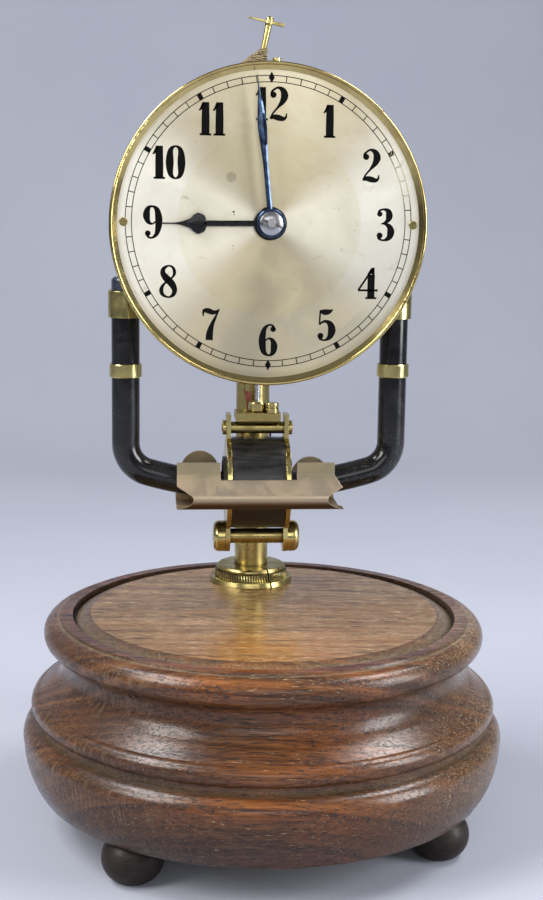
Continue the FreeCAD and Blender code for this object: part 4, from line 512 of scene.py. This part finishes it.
def makeDialMetal(look):
    material, net = newMaterial("silveredDial")
    place = net.place()
    x, z = net.parts(place, "xz")
    up = net.minus(z, dialZ)
    radius = net.length(x, up)
    angle = net.math("ARCTAN2", up, x)
    ring = net.flat(net.times(radius, 5.0), net.times(angle, 0.8))
    spun = net.noise(ring, 1.0, 4.0, 0.6)
    marks = net.group(marksAndShade, Blotch=0.05, Corner=2.0)
    lines = net.group(scratches, Scale=0.7, Amount=0.5)
    reach = look["centreRadius"]
    colour = net.blend(net.span(radius, reach + 0.2, reach - 0.2), look["silver"], look["centre"])
    # top and bottom of the dial painted darker and golden: painted shade outside the spun
    # highlight; the blotches add tarnish
    vertical = net.size(net.math("SINE", angle))
    goldenTarnishAndShade = net.plus(net.times(marks["Blotches"], 0.12),
                      net.times(net.span(vertical, 0.35, 0.85), 0.62))
    colour = net.blend(goldenTarnishAndShade, colour, look["goldenTarnishAndShade"])
    stain = net.span(net.grain(place, (0.09, 1, 0.12), 7.0, 0.75, 0.5), 0.6, 0.72)
    colour = net.cover(stain, 0.4, colour, look["stain"])
    specks = net.span(net.noise(place, 1.1, 4.0, 0.7), 0.72, 0.75)
    colour = net.cover(specks, 0.45, colour, look["speck"])
    edge = net.span(radius, *look["edgeRadii"])
    colour = net.cover(edge, 0.3, colour, look["stain"])
    for across, high, size, strength in look["marks"]:
        gap = net.length(net.minus(x, across), net.minus(up, high))
        gap = net.plus(gap, net.times(spun, 0.2))
        spot = net.times(net.span(gap, size + 0.15, size * 0.6), strength)
        colour = net.blend(spot, colour, look["speck"])
    shine = net.plus(net.shine(marks, look["rough"]), net.times(spun, 0.05))
    rim = net.band(radius, reach - 0.15, reach + 0.15, 0.12)
    height = net.plus(net.times(spun, 0.5), lines["Height"], net.times(rim, -1.4))
    tangent = net.add("Tangent", direction_type="RADIAL", axis="Y").outputs[0]
    settle(net, Base_Color=colour, Metallic=look["metal"], Roughness=shine, Anisotropic=0.8,
           Tangent=tangent, Normal=net.bump(height, 0.012, 0.35))
    return material


inkLook = {"ink": tone(9, 8, 7), "worn": tone(200, 188, 154), "rough": (0.4, 0.6),
           # where the print is worn: across, height over the hands' axis, and how far from it
           "wornAcross": (40.0, 50.0), "wornHigh": 20.0, "wornReach": (17.0, 8.0)}


def makeInk(look):
    material, net = newMaterial("dialInk")
    place = net.place()
    x, z = net.parts(place, "xz")
    away = net.size(net.minus(z, dialZ + look["wornHigh"]))
    faded = net.times(net.span(x, *look["wornAcross"]), net.span(away, *look["wornReach"]))
    grain = net.noise(place, 1.6, 6.0, 0.7)
    worn = net.span(net.plus(grain, net.times(faded, 0.28)), 0.68, 0.76)
    colour = net.cover(worn, 0.8, look["ink"], look["worn"])
    settle(net, Base_Color=colour, Roughness=net.span(grain, 0, 1, *look["rough"]),
           Normal=net.bump(grain, 0.02, 0.3), Specular_IOR_Level=0.08)
    return material


wrapLook = {"tape": tone(9, 9, 10), "dry": tone(28, 27, 26), "lint": tone(104, 98, 86),
            "gloss": (0.24, 0.5), "threads": 14.0, "threadsRound": 250.0}


def makeWrap(look):
    material, net = newMaterial("varnishedTape")
    x, y, z = net.parts(net.place())
    turn = net.math("ARCTAN2", net.minus(z, coilZ), net.minus(y, rodY))
    weave = net.times(net.math("SINE", net.times(x, look["threads"])),
                      net.math("SINE", net.times(turn, look["threadsRound"])))
    drawn = net.flat(net.times(x, 0.08), net.times(turn, 9.0))
    streak = net.noise(drawn, 1.0, 5.0, 0.7)
    marks = net.group(marksAndShade, Blotch=0.18, Corner=2.0)
    colour = net.blend(net.span(streak, 0.45, 0.75), look["tape"], look["dry"])
    colour = net.cover(marks["Specks"], 0.45, colour, look["lint"])
    shine = net.span(streak, 0.3, 0.7, *look["gloss"])
    relief = net.plus(net.times(weave, 0.12), streak)
    settle(net, Base_Color=colour, Roughness=shine, Normal=net.bump(relief, 0.12, 0.5),
           Coat_Weight=0.3, Coat_Roughness=0.25)
    return material


guardLook = {"face": tone(176, 160, 138), "tan": tone(178, 152, 116), "olive": tone(158, 150, 112),
             "grimeAndShade": tone(70, 54, 40), "rough": (0.34, 0.46),
             "warmReflectionHeights": (128.0, 120.0), "oliveHeights": (133.0, 138.5)}


def makeGuardMetal(look):
    material, net = newMaterial("tonedGuard")
    place = net.place()
    [z] = net.parts(place, "z")
    marks = net.group(marksAndShade, Blotch=0.07, Corner=2.0)
    lines = net.group(scratches, Scale=0.9, Amount=0.6)
    # the lower roll is painted a warmer tan, a painted warm reflection
    colour = net.blend(net.span(z, *look["warmReflectionHeights"]), look["face"], look["tan"])
    colour = net.blend(net.times(net.span(z, *look["oliveHeights"]), 0.6), colour, look["olive"])
    colour = net.cover(marks["Blotches"], 0.35, colour, look["tan"])
    colour = net.cover(marks["Specks"], 0.25, colour, look["grimeAndShade"])
    # surfaces facing down painted dark: painted shade, joined with grime and painted shade in the
    # corners
    [upward] = net.facing("z")
    under = net.times(net.span(upward, 0.1, -0.6), 0.9)
    colour = net.blend(net.larger(marks["Corners"], under), colour, look["grimeAndShade"])
    satin = net.grain(place, (0.3, 5.0, 5.0), 3.0, 0.6)
    shine = net.plus(net.shine(marks, look["rough"]), net.times(satin, 0.05))
    height = net.plus(net.times(satin, 0.15), lines["Height"])
    normal = net.bump(height, 0.02, 0.3, net.rounded(0.3))
    settle(net, Base_Color=colour, Metallic=0.9, Roughness=shine, Normal=normal)
    return material


knurlLook = {"ridge": tone(196, 184, 130), "valley": tone(48, 42, 26), "rough": (0.24, 0.42),
             "ringRadius": 15.1, "deep": 0.24, "ridges": 84.0, "slant": 1.4}


def makeKnurl(look):
    material, net = newMaterial("knurledBrass")
    x, y, z = net.parts(net.place())
    back = net.minus(y, columnY)
    radius = net.length(x, back)
    turn = net.math("ARCTAN2", back, x)
    rope = net.math("SINE", net.plus(net.times(turn, look["ridges"]), net.times(z, look["slant"])))
    marks = net.group(marksAndShade, Blotch=0.2, Corner=1.0)
    outer = look["ringRadius"]
    # darker in the knurl's valleys: grime and painted shade
    valley = net.times(net.span(radius, outer - 0.05, outer - look["deep"]), 0.85)
    valley = net.larger(valley, net.times(net.span(rope, 0.2, -0.8), 0.5))
    colour = net.blend(valley, look["ridge"], look["valley"])
    colour = net.cover(marks["Blotches"], 0.4, colour, look["valley"])
    settle(net, Base_Color=colour, Metallic=1.0, Roughness=net.shine(marks, look["rough"]),
           Normal=net.bump(rope, 0.12, 0.6))
    return material


# Plain finishes: two tones mixed by a grain noise, its scale and stretch, relief, roughness,
# metal and coat
plains = {
    "bluedSteel": dict(tones=(tone(30, 40, 58), tone(70, 92, 124)), rough=0.14, scale=0.3,
                       depth=0.02, metal=0.9, coat=0.3, edge=0.06),
    "blackHand": dict(tones=(tone(8, 8, 9), tone(14, 14, 16)), rough=0.22, scale=0.5, depth=0.03,
                      coat=0.15, shine=0.3, edge=0.1),
    "darkFoot": dict(tones=(tone(13, 8, 6), tone(40, 26, 18)), rough=0.45, scale=0.9, depth=0.25,
                     coat=0.05, shine=0.3, edge=0.3, grain=(0.25, 1.6, 1.6)),
    "copperWire": dict(tones=(tone(120, 64, 38), tone(172, 98, 62)), rough=0.32, scale=2.0,
                       depth=0.03, metal=0.9),
    "redFibre": dict(tones=(tone(96, 40, 30), tone(126, 64, 50)), rough=0.55, scale=1.2,
                     depth=0.1),
    "waxedSilk": dict(tones=(tone(104, 88, 60), tone(182, 164, 124)), rough=0.65, scale=5.0,
                      depth=0.08),
    "zincCan": dict(tones=(tone(96, 98, 100), tone(130, 132, 134)), rough=0.4, scale=0.6,
                    depth=0.05, metal=0.6),
    "cottonBraid": dict(tones=(tone(52, 54, 36), tone(104, 104, 72)), rough=0.8, scale=3.0,
                        depth=0.12, grain=(1, 1, 0.6)),
}


def makePlain(name, look):
    material, net = newMaterial(name)
    marks = net.group(marksAndShade, Corner=2.0)
    place = net.stretch(net.place(), look.get("grain", (1, 1, 1)))
    grainy = net.noise(place, look["scale"], 6.0, 0.65, 0.2)
    first, second = look["tones"]
    colour = net.blend(net.span(grainy, 0.35, 0.65), first, second)
    # corners and recesses darkened: grime and painted shade
    colour = net.cover(marks["Corners"], 0.6, colour, darker(first, 0.35))
    shine = net.plus(net.times(grainy, 0.12), look["rough"])
    normal = net.bump(grainy, look["depth"], 0.5, net.rounded(look.get("edge", 0.2)))
    settle(net, Base_Color=colour, Metallic=look.get("metal", 0.0), Roughness=shine,
           Normal=normal, Specular_IOR_Level=look.get("shine", 0.5),
           Coat_Weight=look.get("coat", 0.0))
    return material


materials = {"oak": makeOak(oakLook), "enamel": makeEnamel(enamelLook),
             "dial": makeDialMetal(dialLook), "ink": makeInk(inkLook), "wrap": makeWrap(wrapLook),
             "guard": makeGuardMetal(guardLook), "knurl": makeKnurl(knurlLook)}
materials |= {name: makeMetal(name, look) for name, look in metals.items()}
materials |= {name: makePlain(name, look) for name, look in plains.items()}
print("materials ready")

finishes = {
    "oak": "turned_oak_base",
    "darkFoot": "foot_front_right foot_front_left foot_rear_right foot_rear_left",
    "enamel": "magnet_bow magnet_arm_left magnet_arm_right",
    "dial": "dial",
    "wrap": "coil_wrap bobbin",
    "guard": "magnet_guard",
    "bezelBrass": "bezel",
    "knurl": "knurled_ring",
    "agedBrass": "bottom_cover frame_plate column_head front_plate rear_plate bridge_plate"
                 " top_cross_rod bottom_cross_rod suspension_cock winder_pin contact_strips"
                 " centre_wheel hour_wheel minute_wheel plate_pillars fork_lever column_tube"
                 " column_nut column_collar",
    "wornBrass": "side_plate_left side_plate_right top_rod_nuts knob_left knob_right rating_nut"
                 " terminal_screw frame_screws base_screws dial_screws",
    "brightBrass": "magnet_ferrules magnet_clamps",
    "brightSteel": "minute_arbor ratchet_wheel pawl_arbor pendulum_rod contact_pin",
    "greySteel": "hand_nut",
    "bluedSteel": "minute_hand",
    "blackHand": "hour_hand",
    "copperWire": "coil_winding coil_leads",
    "redFibre": "fibre_flag",
    "waxedSilk": "suspension_silk silk_heap",
    "zincCan": "dry_cell",
    "cottonBraid": "battery_leads",
}
for finish, names in finishes.items():
    for name in names.split():
        mesh = nodes[name].data
        mesh.materials.clear()
        mesh.materials.append(materials[finish])
        for face in mesh.polygons:
            face.material_index = 0


# Coil wrap: varnished tape wound a little unevenly round the bobbin

tape = {"radius": 18.3, "thick": 0.8, "halfWidth": 10.6, "steps": 240,
        "creases": 14, "waves": (3, 38), "deep": 0.16, "lean": 0.02, "shift": 0.5,
        "edgeDrop": 0.22, "edgePower": 30,
        "across": [-1, -0.985, -0.93, -0.75, -0.5, -0.25, 0, 0.25, 0.5, 0.75, 0.93, 0.985, 1]}


def makeTape(look):
    radius, low, half = look["radius"], look["radius"] - look["thick"], look["halfWidth"]
    creases = [(random.randint(*look["waves"]), random.uniform(0, fullTurn),
                random.uniform(0.3, 1.0)) for crease in range(look["creases"])]
    total = sum(size for waves, start, size in creases)
    vertices, faces = [], []
    count, steps = len(look["across"]) + 2, look["steps"]
    for turn in roundAngles(steps):
        ring = [(-half, low)]
        for share in look["across"]:
            lean = turn + share * look["lean"]
            crease = sum(size * math.sin(waves * lean + start + share * look["shift"])
                         for waves, start, size in creases)
            drop = (look["deep"] * (0.5 - 0.5 * crease / total)
                    + look["edgeDrop"] * abs(share) ** look["edgePower"])
            ring.append((share * half, radius - drop))
        ring.append((half, low))
        for across, reach in ring:
            back = reach * math.cos(turn)
            vertices.append((rodX + across * math.cos(bobTurn) + back * math.sin(bobTurn),
                             rodY + back * math.cos(bobTurn) - across * math.sin(bobTurn),
                             coilZ + reach * math.sin(turn)))
    for step in range(steps):
        here, there = step * count, (step + 1) % steps * count
        for index in range(count):
            after = (index + 1) % count
            faces.append((here + index, there + index, there + after, here + after))
    piece = makePiece("coilTape", vertices, faces, materials["wrap"], "pendulum")
    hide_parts("coil_wrap")


makeTape(tape)
print("coil tape ready")


# Hands with bevelled blades: half widths along the blade, the boss as radii and depths

handShapes = {
    "minuteHand": {
        "node": "minute_hand", "body": "minute", "finish": "bluedSteel", "turn": 354.0,
        "front": -6.7,
        "blade": [(4.9, 0.95), (18.6, 0.95), (24.0, 1.05), (29.0, 1.36), (35.5, 1.7), (42.0, 1.15),
                  (48.6, 0.4), (54.6, 0.06)],
        "boss": [(1.5, 0.6), (1.5, 0.0), (4.4, 0.0), (4.4, -0.5), (5.15, -0.5), (5.4, -0.25),
                 (5.4, 0.6)]},
    "hourHand": {
        "node": "hour_hand", "body": "hour", "finish": "blackHand", "turn": 269.5, "front": -4.9,
        "blade": [(4.4, 1.05), (23.0, 1.05), (23.8, 1.25), (24.7, 2.95), (26.9, 3.85), (28.6, 3.1),
                  (30.2, 1.7), (34.5, 0.42), (40.0, 0.26), (40.5, 0.08)],
        "boss": [(3.4, 0.6), (3.4, 0.0), (5.95, 0.0), (6.2, 0.25), (6.2, 0.6)]},
}
bevel = {"thick": 0.6, "edge": 0.34, "crown": 0.02, "crownShare": 0.42, "leastHalf": 0.05}


def bridge(faces, here, there, count):
    for index in range(count):
        after = (index + 1) % count
        faces.append((here + index, here + after, there + after, there + index))


def makeHand(name, look):
    turn = math.radians(look["turn"])
    thick, edge, crown = bevel["thick"], bevel["edge"], bevel["crown"]
    vertices, faces = [], []

    def spot(across, high, depth):
        return (across * math.cos(turn) + high * math.sin(turn), look["front"] + depth,
                dialZ + high * math.cos(turn) - across * math.sin(turn))

    stations = smoothPath(look["blade"])
    for high, half in stations:
        half = max(half, bevel["leastHalf"])
        inner = half * bevel["crownShare"]
        section = [(-half, thick), (-half, edge), (-inner, crown), (inner, crown), (half, edge),
                   (half, thick)]
        vertices += [spot(across, high, depth) for across, depth in section]
    sides = len(section)
    last = len(vertices) - sides
    for here in range(0, last, sides):
        bridge(faces, here, here + sides, sides)
    faces += [tuple(range(sides - 1, -1, -1)), tuple(range(last, last + sides))]
    start, steps, count = len(vertices), 120, len(look["boss"])
    for around in roundAngles(steps):
        vertices += [spot(radius * math.sin(around), radius * math.cos(around), depth)
                     for radius, depth in look["boss"]]
    for step in range(steps):
        bridge(faces, start + step * count, start + (step + 1) % steps * count, count)
    piece = makePiece(name, vertices, faces, materials[look["finish"]], look["body"], 22)
    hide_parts(look["node"])


for name, look in handShapes.items():
    makeHand(name, look)
print("hands ready")


# Silk: the twisted thread that carries the pendulum and the loose turns left on the cock

silk = {"low": 280.0, "high": 287.9, "strand": 0.4, "twist": 0.16, "pitch": 1.7, "steps": 28,
        "cockTop": 292.4, "thread": 0.3, "turns": 5.5, "wide": 5.7, "narrow": 1.8, "taper": 0.8,
        "squash": 0.82, "rise": 5.1, "lean": 11.4, "foot": -1.6, "shift": -2.2, "least": 0.3,
        "jitter": 0.35, "strays": 9, "strayJitter": 0.55, "straySpread": (0.7, 1.02),
        "strayTurns": 0.7}


def makeSuspension(look):
    rise = look["high"] - look["low"]
    paths = []
    for start in (0, math.pi):
        path = []
        for step in range(look["steps"] + 1):
            high = look["low"] + rise * step / look["steps"]
            turn = start + 2 * math.pi * (high - look["low"]) / look["pitch"]
            path.append((rodX + look["twist"] * math.cos(turn),
                         rodY + look["twist"] * math.sin(turn), high))
        paths.append(path)
    piece = makeThread("suspensionSilk", paths, look["strand"], materials["waxedSilk"], "pendulum")
    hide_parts("suspension_silk")


def heapPath(look, phase, jitter, spread, turns):
    steps = int(turns * 10)
    path = []
    for step in range(steps + 1):
        share = step / steps
        rise = look["thread"] * 0.8 + share * look["rise"]
        radius = look["wide"] + (look["narrow"] - look["wide"]) * share ** look["taper"]
        lean = look["foot"] + math.tan(math.radians(look["lean"])) * rise
        centre = (look["foot"] + look["shift"]) * (1 - share) + lean * share
        turn = phase + 2 * math.pi * turns * share
        radius = radius * spread + random.uniform(-jitter, jitter)
        high = max(look["least"], rise + random.uniform(-jitter, jitter))
        path.append((centre + radius * math.cos(turn),
                     rodY + radius * look["squash"] * math.sin(turn), look["cockTop"] + high))
    return path


def makeHeap(look):
    paths = [heapPath(look, 0.0, look["jitter"], 1.0, look["turns"])]
    for stray in range(look["strays"]):
        phase, spread = random.uniform(0, fullTurn), random.uniform(*look["straySpread"])
        paths.append(heapPath(look, phase, look["strayJitter"], spread,
                              look["turns"] * look["strayTurns"]))
    piece = makeThread("silkTangle", paths, look["thread"], materials["waxedSilk"], "stand")
    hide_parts("silk_heap")


makeSuspension(silk)
makeHeap(silk)
print("silk ready")


# Cotton-covered leads from the dry cell: one to the column's nut, one up the column to the cock

leads = {
    "thick": 1.2,
    "short": [(-19.5, 0, 55.7), (-14, 6, 55.7), (-3, 26, 51.7), (0, 36.6, 51.7), (0, 36.6, 63.75)],
    "tall": [(19.5, 0, 55.7), (14, 6, 55.7), (3.5, 30, 47.7), (1.2, 47.2, 43.7), (1.2, 47.2, 249),
             (4, 31.2, 262), (4, 31.2, 291.1)],
}
cottonLeads = makeThread("cottonLeads", [leads["short"], leads["tall"]], leads["thick"],
                         materials["cottonBraid"], "stand")
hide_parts("battery_leads")
print("leads ready")


# Numerals and minute track printed on the dial: strokes as (across, up, width) and round
# terminals as (across, up, radius), in shares of the height

digitWide = 0.54
numerals = {
    "0": [[(0.27, 0.985, 0.04), (0.12, 0.86, 0.12), (0.09, 0.5, 0.19), (0.12, 0.14, 0.12),
           (0.27, 0.015, 0.04), (0.42, 0.14, 0.12), (0.45, 0.5, 0.19), (0.42, 0.86, 0.12),
           "closed"]],
    "1": [[(0.2, 0.02, 0.19), (0.2, 0.5, 0.19), (0.2, 0.99, 0.17)],
          [(0.0, 0.74, 0.03), (0.06, 0.8, 0.05), (0.14, 0.97, 0.06)],
          [(0.02, 0.022, 0.045), (0.2, 0.022, 0.045), (0.38, 0.022, 0.045)]],
    "2": [[(0.05, 0.73, 0.02), (0.07, 0.86, 0.05), (0.24, 0.98, 0.05), (0.4, 0.91, 0.13),
           (0.46, 0.74, 0.18), (0.4, 0.57, 0.13), (0.25, 0.38, 0.05), (0.1, 0.2, 0.04),
           (0.03, 0.05, 0.04)],
          [(0.02, 0.05, 0.04), (0.14, 0.1, 0.11), (0.29, 0.075, 0.14), (0.43, 0.05, 0.1),
           (0.51, 0.1, 0.05), (0.53, 0.22, 0.02)]],
    "3": [[(0.05, 0.8, 0.02), (0.09, 0.93, 0.05), (0.23, 0.98, 0.045), (0.37, 0.92, 0.13),
           (0.41, 0.77, 0.17), (0.35, 0.62, 0.1), (0.22, 0.54, 0.04), (0.16, 0.535, 0.03)],
          [(0.16, 0.535, 0.03), (0.27, 0.53, 0.05), (0.42, 0.44, 0.13), (0.47, 0.27, 0.18),
           (0.41, 0.1, 0.13), (0.25, 0.02, 0.045), (0.09, 0.07, 0.05), (0.05, 0.19, 0.02)]],
    "4": [[(0.42, 0.03, 0.18), (0.42, 0.4, 0.18), (0.42, 0.76, 0.18)],
          [(0.48, 0.7, 0.07), (0.485, 0.98, 0.05)],
          [(0.49, 0.97, 0.05), (0.26, 0.64, 0.045), (0.02, 0.28, 0.045)],
          [(0.0, 0.265, 0.045), (0.3, 0.265, 0.045), (0.64, 0.265, 0.045)],
          [(0.25, 0.022, 0.045), (0.42, 0.022, 0.045), (0.6, 0.022, 0.045)],
          [(0.3, 0.76, 0.02), (0.42, 0.86, 0.1), (0.47, 0.96, 0.07)]],
    "5": [[(0.08, 0.95, 0.03), (0.2, 0.91, 0.13), (0.34, 0.91, 0.13), (0.46, 0.96, 0.05),
           (0.49, 1.0, 0.01)],
          [(0.1, 0.95, 0.035), (0.085, 0.72, 0.035), (0.08, 0.5, 0.035)],
          [(0.08, 0.51, 0.03), (0.17, 0.59, 0.05), (0.3, 0.61, 0.08), (0.43, 0.51, 0.15),
           (0.475, 0.32, 0.19), (0.41, 0.12, 0.13), (0.26, 0.02, 0.045), (0.1, 0.06, 0.05),
           (0.05, 0.18, 0.02)]],
    "6": [[(0.47, 0.8, 0.02), (0.42, 0.94, 0.05), (0.29, 0.98, 0.045), (0.15, 0.86, 0.1),
           (0.085, 0.6, 0.16), (0.085, 0.36, 0.17), (0.14, 0.12, 0.12), (0.28, 0.02, 0.045),
           (0.41, 0.09, 0.11), (0.46, 0.29, 0.17), (0.41, 0.48, 0.11), (0.29, 0.555, 0.045),
           (0.17, 0.48, 0.03)]],
    "7": [[(0.03, 0.76, 0.02), (0.05, 0.93, 0.07), (0.18, 0.93, 0.13), (0.34, 0.88, 0.11),
           (0.48, 0.92, 0.06), (0.53, 0.99, 0.02)],
          [(0.53, 0.98, 0.025), (0.43, 0.76, 0.05), (0.31, 0.5, 0.1), (0.24, 0.25, 0.16),
           (0.22, 0.01, 0.18)]],
    "8": [[(0.28, 0.985, 0.04), (0.13, 0.9, 0.09), (0.1, 0.76, 0.13), (0.2, 0.61, 0.17),
           (0.36, 0.45, 0.17), (0.46, 0.26, 0.13), (0.42, 0.09, 0.09), (0.27, 0.015, 0.04),
           (0.1, 0.09, 0.08), (0.05, 0.24, 0.1), (0.12, 0.4, 0.06), (0.28, 0.54, 0.035),
           (0.42, 0.66, 0.05), (0.46, 0.79, 0.08), (0.41, 0.93, 0.06), "closed"]],
}
numerals["9"] = [[(digitWide - x, 1 - y, wide) for x, y, wide in stroke]
                 for stroke in numerals["6"]]
terminals = {"2": [(0.115, 0.765, 0.085)], "3": [(0.105, 0.835, 0.075), (0.115, 0.165, 0.085)],
             "5": [(0.115, 0.155, 0.085)], "6": [(0.42, 0.845, 0.078)],
             "9": [(0.12, 0.155, 0.078)]}
printing = {"tall": 12.0, "circle": 43.7, "bold": 1.24, "hairline": 0.008, "terminal": 1.12,
            "gap": 0.05, "widths": {"1": 0.38, "4": 0.64}, "front": -2.53,
            "trackIn": 51.5, "trackOut": 53.8, "line": 0.32, "fade": (15, 45), "lift": 0.005,
            # half angles of the five-minute and minute bars, and the lozenge at 0 and 30
            "fiveBar": 0.0165, "minuteBar": 0.0032, "lozenge": (-1.6, 0.4, 2.6),
            "lozengeHalf": 0.0215}


def addStroke(vertices, faces, stroke, place, look):
    closed = stroke[-1] == "closed"
    points = smoothPath([point for point in stroke if point != "closed"], closed)
    count = len(points)
    start = len(vertices)
    for index, (x, y, wide) in enumerate(points):
        wide = wide * look["bold"] + look["hairline"]
        before = points[index - 1] if closed or index else points[0]
        after = points[(index + 1) % count] if closed or index < count - 1 else points[-1]
        along = Vector((after[0] - before[0], after[1] - before[1])).normalized()
        for side in (-0.5, 0.5):
            vertices.append(place(x - along.y * wide * side, y + along.x * wide * side))
    for index in range(count if closed else count - 1):
        here, there = start + index * 2, start + (index + 1) % count * 2
        faces.append((here, there, there + 1, here + 1))


def addDisc(vertices, faces, x, y, radius, place):
    start, steps = len(vertices), 20
    for turn in roundAngles(steps):
        vertices.append(place(x + radius * math.cos(turn), y + radius * math.sin(turn)))
    faces.append(tuple(range(start, start + steps)))


def makeNumerals(look):
    vertices, faces = [], []
    tall, circle = look["tall"], look["circle"]
    for hour in range(1, 13):
        text = str(hour)
        widths = [look["widths"].get(digit, digitWide) for digit in text]
        total = sum(widths) + look["gap"] * (len(text) - 1)
        turn = math.radians(30 * hour)
        left = circle * math.sin(turn) - total * tall / 2
        low = dialZ + circle * math.cos(turn) - tall / 2
        for digit, wide in zip(text, widths):
            def place(x, y, left=left, low=low):
                return left + x * tall, look["front"], low + y * tall
            for stroke in numerals[digit]:
                addStroke(vertices, faces, stroke, place, look)
            for x, y, radius in terminals.get(digit, []):
                addDisc(vertices, faces, x, y, radius * look["terminal"], place)
            left += (wide + look["gap"]) * tall
    makePiece("hourNumerals", vertices, faces, materials["ink"], "stand", 0)


def polar(radius, turn, front):
    return radius * math.sin(turn), front, dialZ + radius * math.cos(turn)


def makeTrack(look):
    vertices, faces = [], []
    low, high, half, front = look["trackIn"], look["trackOut"], look["line"] / 2, look["front"]
    for radius in (low, high):
        start, steps = len(vertices), 360
        for turn in roundAngles(steps):
            vertices += [polar(radius - half, turn, front), polar(radius + half, turn, front)]
        for step in range(steps):
            here, there = start + step * 2, start + (step + 1) % steps * 2
            faces.append((here, here + 1, there + 1, there))
    for minute in range(60):
        if minute in look["fade"]:
            continue
        turn = math.radians(6 * minute)
        if minute in (0, 30):
            aside = look["lozengeHalf"]
            inner, middle, outer = [(low + high) / 2 + away for away in look["lozenge"]]
            corners = [(inner, 0), (middle, aside), (outer, 0), (middle, -aside)]
        else:
            aside = look["minuteBar"] if minute % 5 else look["fiveBar"]
            corners = [(low, aside), (high, aside), (high, -aside), (low, -aside)]
        start = len(vertices)
        vertices += [polar(radius, turn + off, front - look["lift"]) for radius, off in corners]
        faces.append(tuple(range(start, start + 4)))
    makePiece("minuteTrack", vertices, faces, materials["ink"], "stand", 0)


makeNumerals(printing)
makeTrack(printing)
print("dial print ready")


# Camera, lamps and stage, in metres and degrees, the camera as solved from the photograph

view = {"sensor": 36, "lens": 58.324, "near": 0.05, "far": 20, "spot": (-0.0675, -0.5499, 0.2403),
        "heading": -7.22, "tilt": 80.37, "roll": 0.81}
lampTarget = (0, 0, 0.16)
lamps = {
    "leftWindow": dict(spot=(-0.85, -0.42, 0.75), size=(0.45, 0.6), power=10.5,
                       colour=(1.0, 0.98, 0.96)),
    "rightWindow": dict(spot=(0.9, -0.5, 0.42), size=(0.4, 0.7), power=11,
                        colour=(0.96, 0.98, 1.0)),
    "leftSky": dict(spot=(-0.68, 0.0, 1.08), size=(0.45, 0.4), power=9, colour=(0.97, 0.98, 1.0)),
    "rightSky": dict(spot=(0.66, 0.02, 1.05), size=(0.45, 0.4), power=8, colour=(0.97, 0.98, 1.0)),
    "frontFill": dict(spot=(-0.1, -1.3, 0.55), size=(1.0, 0.5), power=3.0, colour=(1.0, 1.0, 1.0)),
}
stage = {"floor": tone(160, 163, 176), "floorLight": tone(174, 177, 188), "rough": 0.9,
         # the backdrop: half width, front edge, where its curve starts, the curve's radius, top
         "half": 2.2, "front": -1.4, "back": 0.75, "curve": 0.55, "curveSteps": 12, "top": 2.4,
         "sky": (0.74, 0.77, 0.86), "strength": (0.1, 0.36), "skyHeights": (-0.3, 0.8),
         "horizon": 0.62}


def makeCamera(look):
    data = bpy.data.cameras.new("camera")
    data.sensor_width, data.lens = look["sensor"], look["lens"]
    data.clip_start, data.clip_end = look["near"], look["far"]
    camera = addObject("camera", data)
    turn = Matrix.Identity(4)
    for name, axis in (("heading", "Z"), ("tilt", "X"), ("roll", "Z")):
        turn = turn @ Matrix.Rotation(math.radians(look[name]), 4, axis)
    camera.matrix_world = Matrix.Translation(look["spot"]) @ turn
    bpy.context.scene.camera = camera


def makeLamp(name, look):
    data = bpy.data.lights.new(name, "AREA")
    data.shape, data.size, data.size_y = "RECTANGLE", *look["size"]
    data.energy, data.color = look["power"], look["colour"]
    lamp = addObject(name, data)
    lamp.location = look["spot"]
    lamp.rotation_mode = "QUATERNION"
    aim = Vector(lampTarget) - Vector(look["spot"])
    lamp.rotation_quaternion = aim.to_track_quat("-Z", "Y")


def makeBackdrop(look):
    material, net = newMaterial("paleBackdrop")
    soft = net.noise(net.place(), 0.004, 3.0, 0.5)
    settle(net, Base_Color=net.blend(soft, look["floor"], look["floorLight"]),
           Roughness=look["rough"])
    back, curve, steps = look["back"], look["curve"], look["curveSteps"]
    profile = [(look["front"], 0.0)]
    for step in range(steps + 1):
        turn = math.pi / 2 * step / steps
        profile.append((back + curve * math.sin(turn), curve * (1.0 - math.cos(turn))))
    profile.append((back + curve, look["top"]))
    vertices = [(x, y, z) for y, z in profile for x in (-look["half"], look["half"])]
    faces = [(here, here + 1, here + 3, here + 2) for here in range(0, len(vertices) - 2, 2)]
    mesh = bpy.data.meshes.new("backdrop")
    mesh.from_pydata(vertices, [], faces)
    mesh.materials.append(material)
    for face in mesh.polygons:
        face.use_smooth = True
    backdrop = addObject("backdrop", mesh)


def makeSky(look):
    world = bpy.data.worlds.new("studio")
    world.use_nodes = True
    net = NodeNet(world.node_tree)
    background = world.node_tree.nodes["Background"]
    net.plug(background.inputs["Color"], (*look["sky"], 1))
    [up] = net.parts(net.add("TexCoord").outputs["Generated"], "z")
    seen = net.add("LightPath").outputs["Is Camera Ray"]
    glow = net.times(net.minus(1.0, seen), net.span(up, *look["skyHeights"], *look["strength"]))
    net.plug(background.inputs["Strength"], net.plus(glow, net.times(seen, look["horizon"])))
    bpy.context.scene.world = world


makeCamera(view)
for name, look in lamps.items():
    makeLamp(name, look)
makeBackdrop(stage)
makeSky(stage)
bpy.context.scene.view_settings.view_transform = "Standard"
print("camera, lights and stage ready")
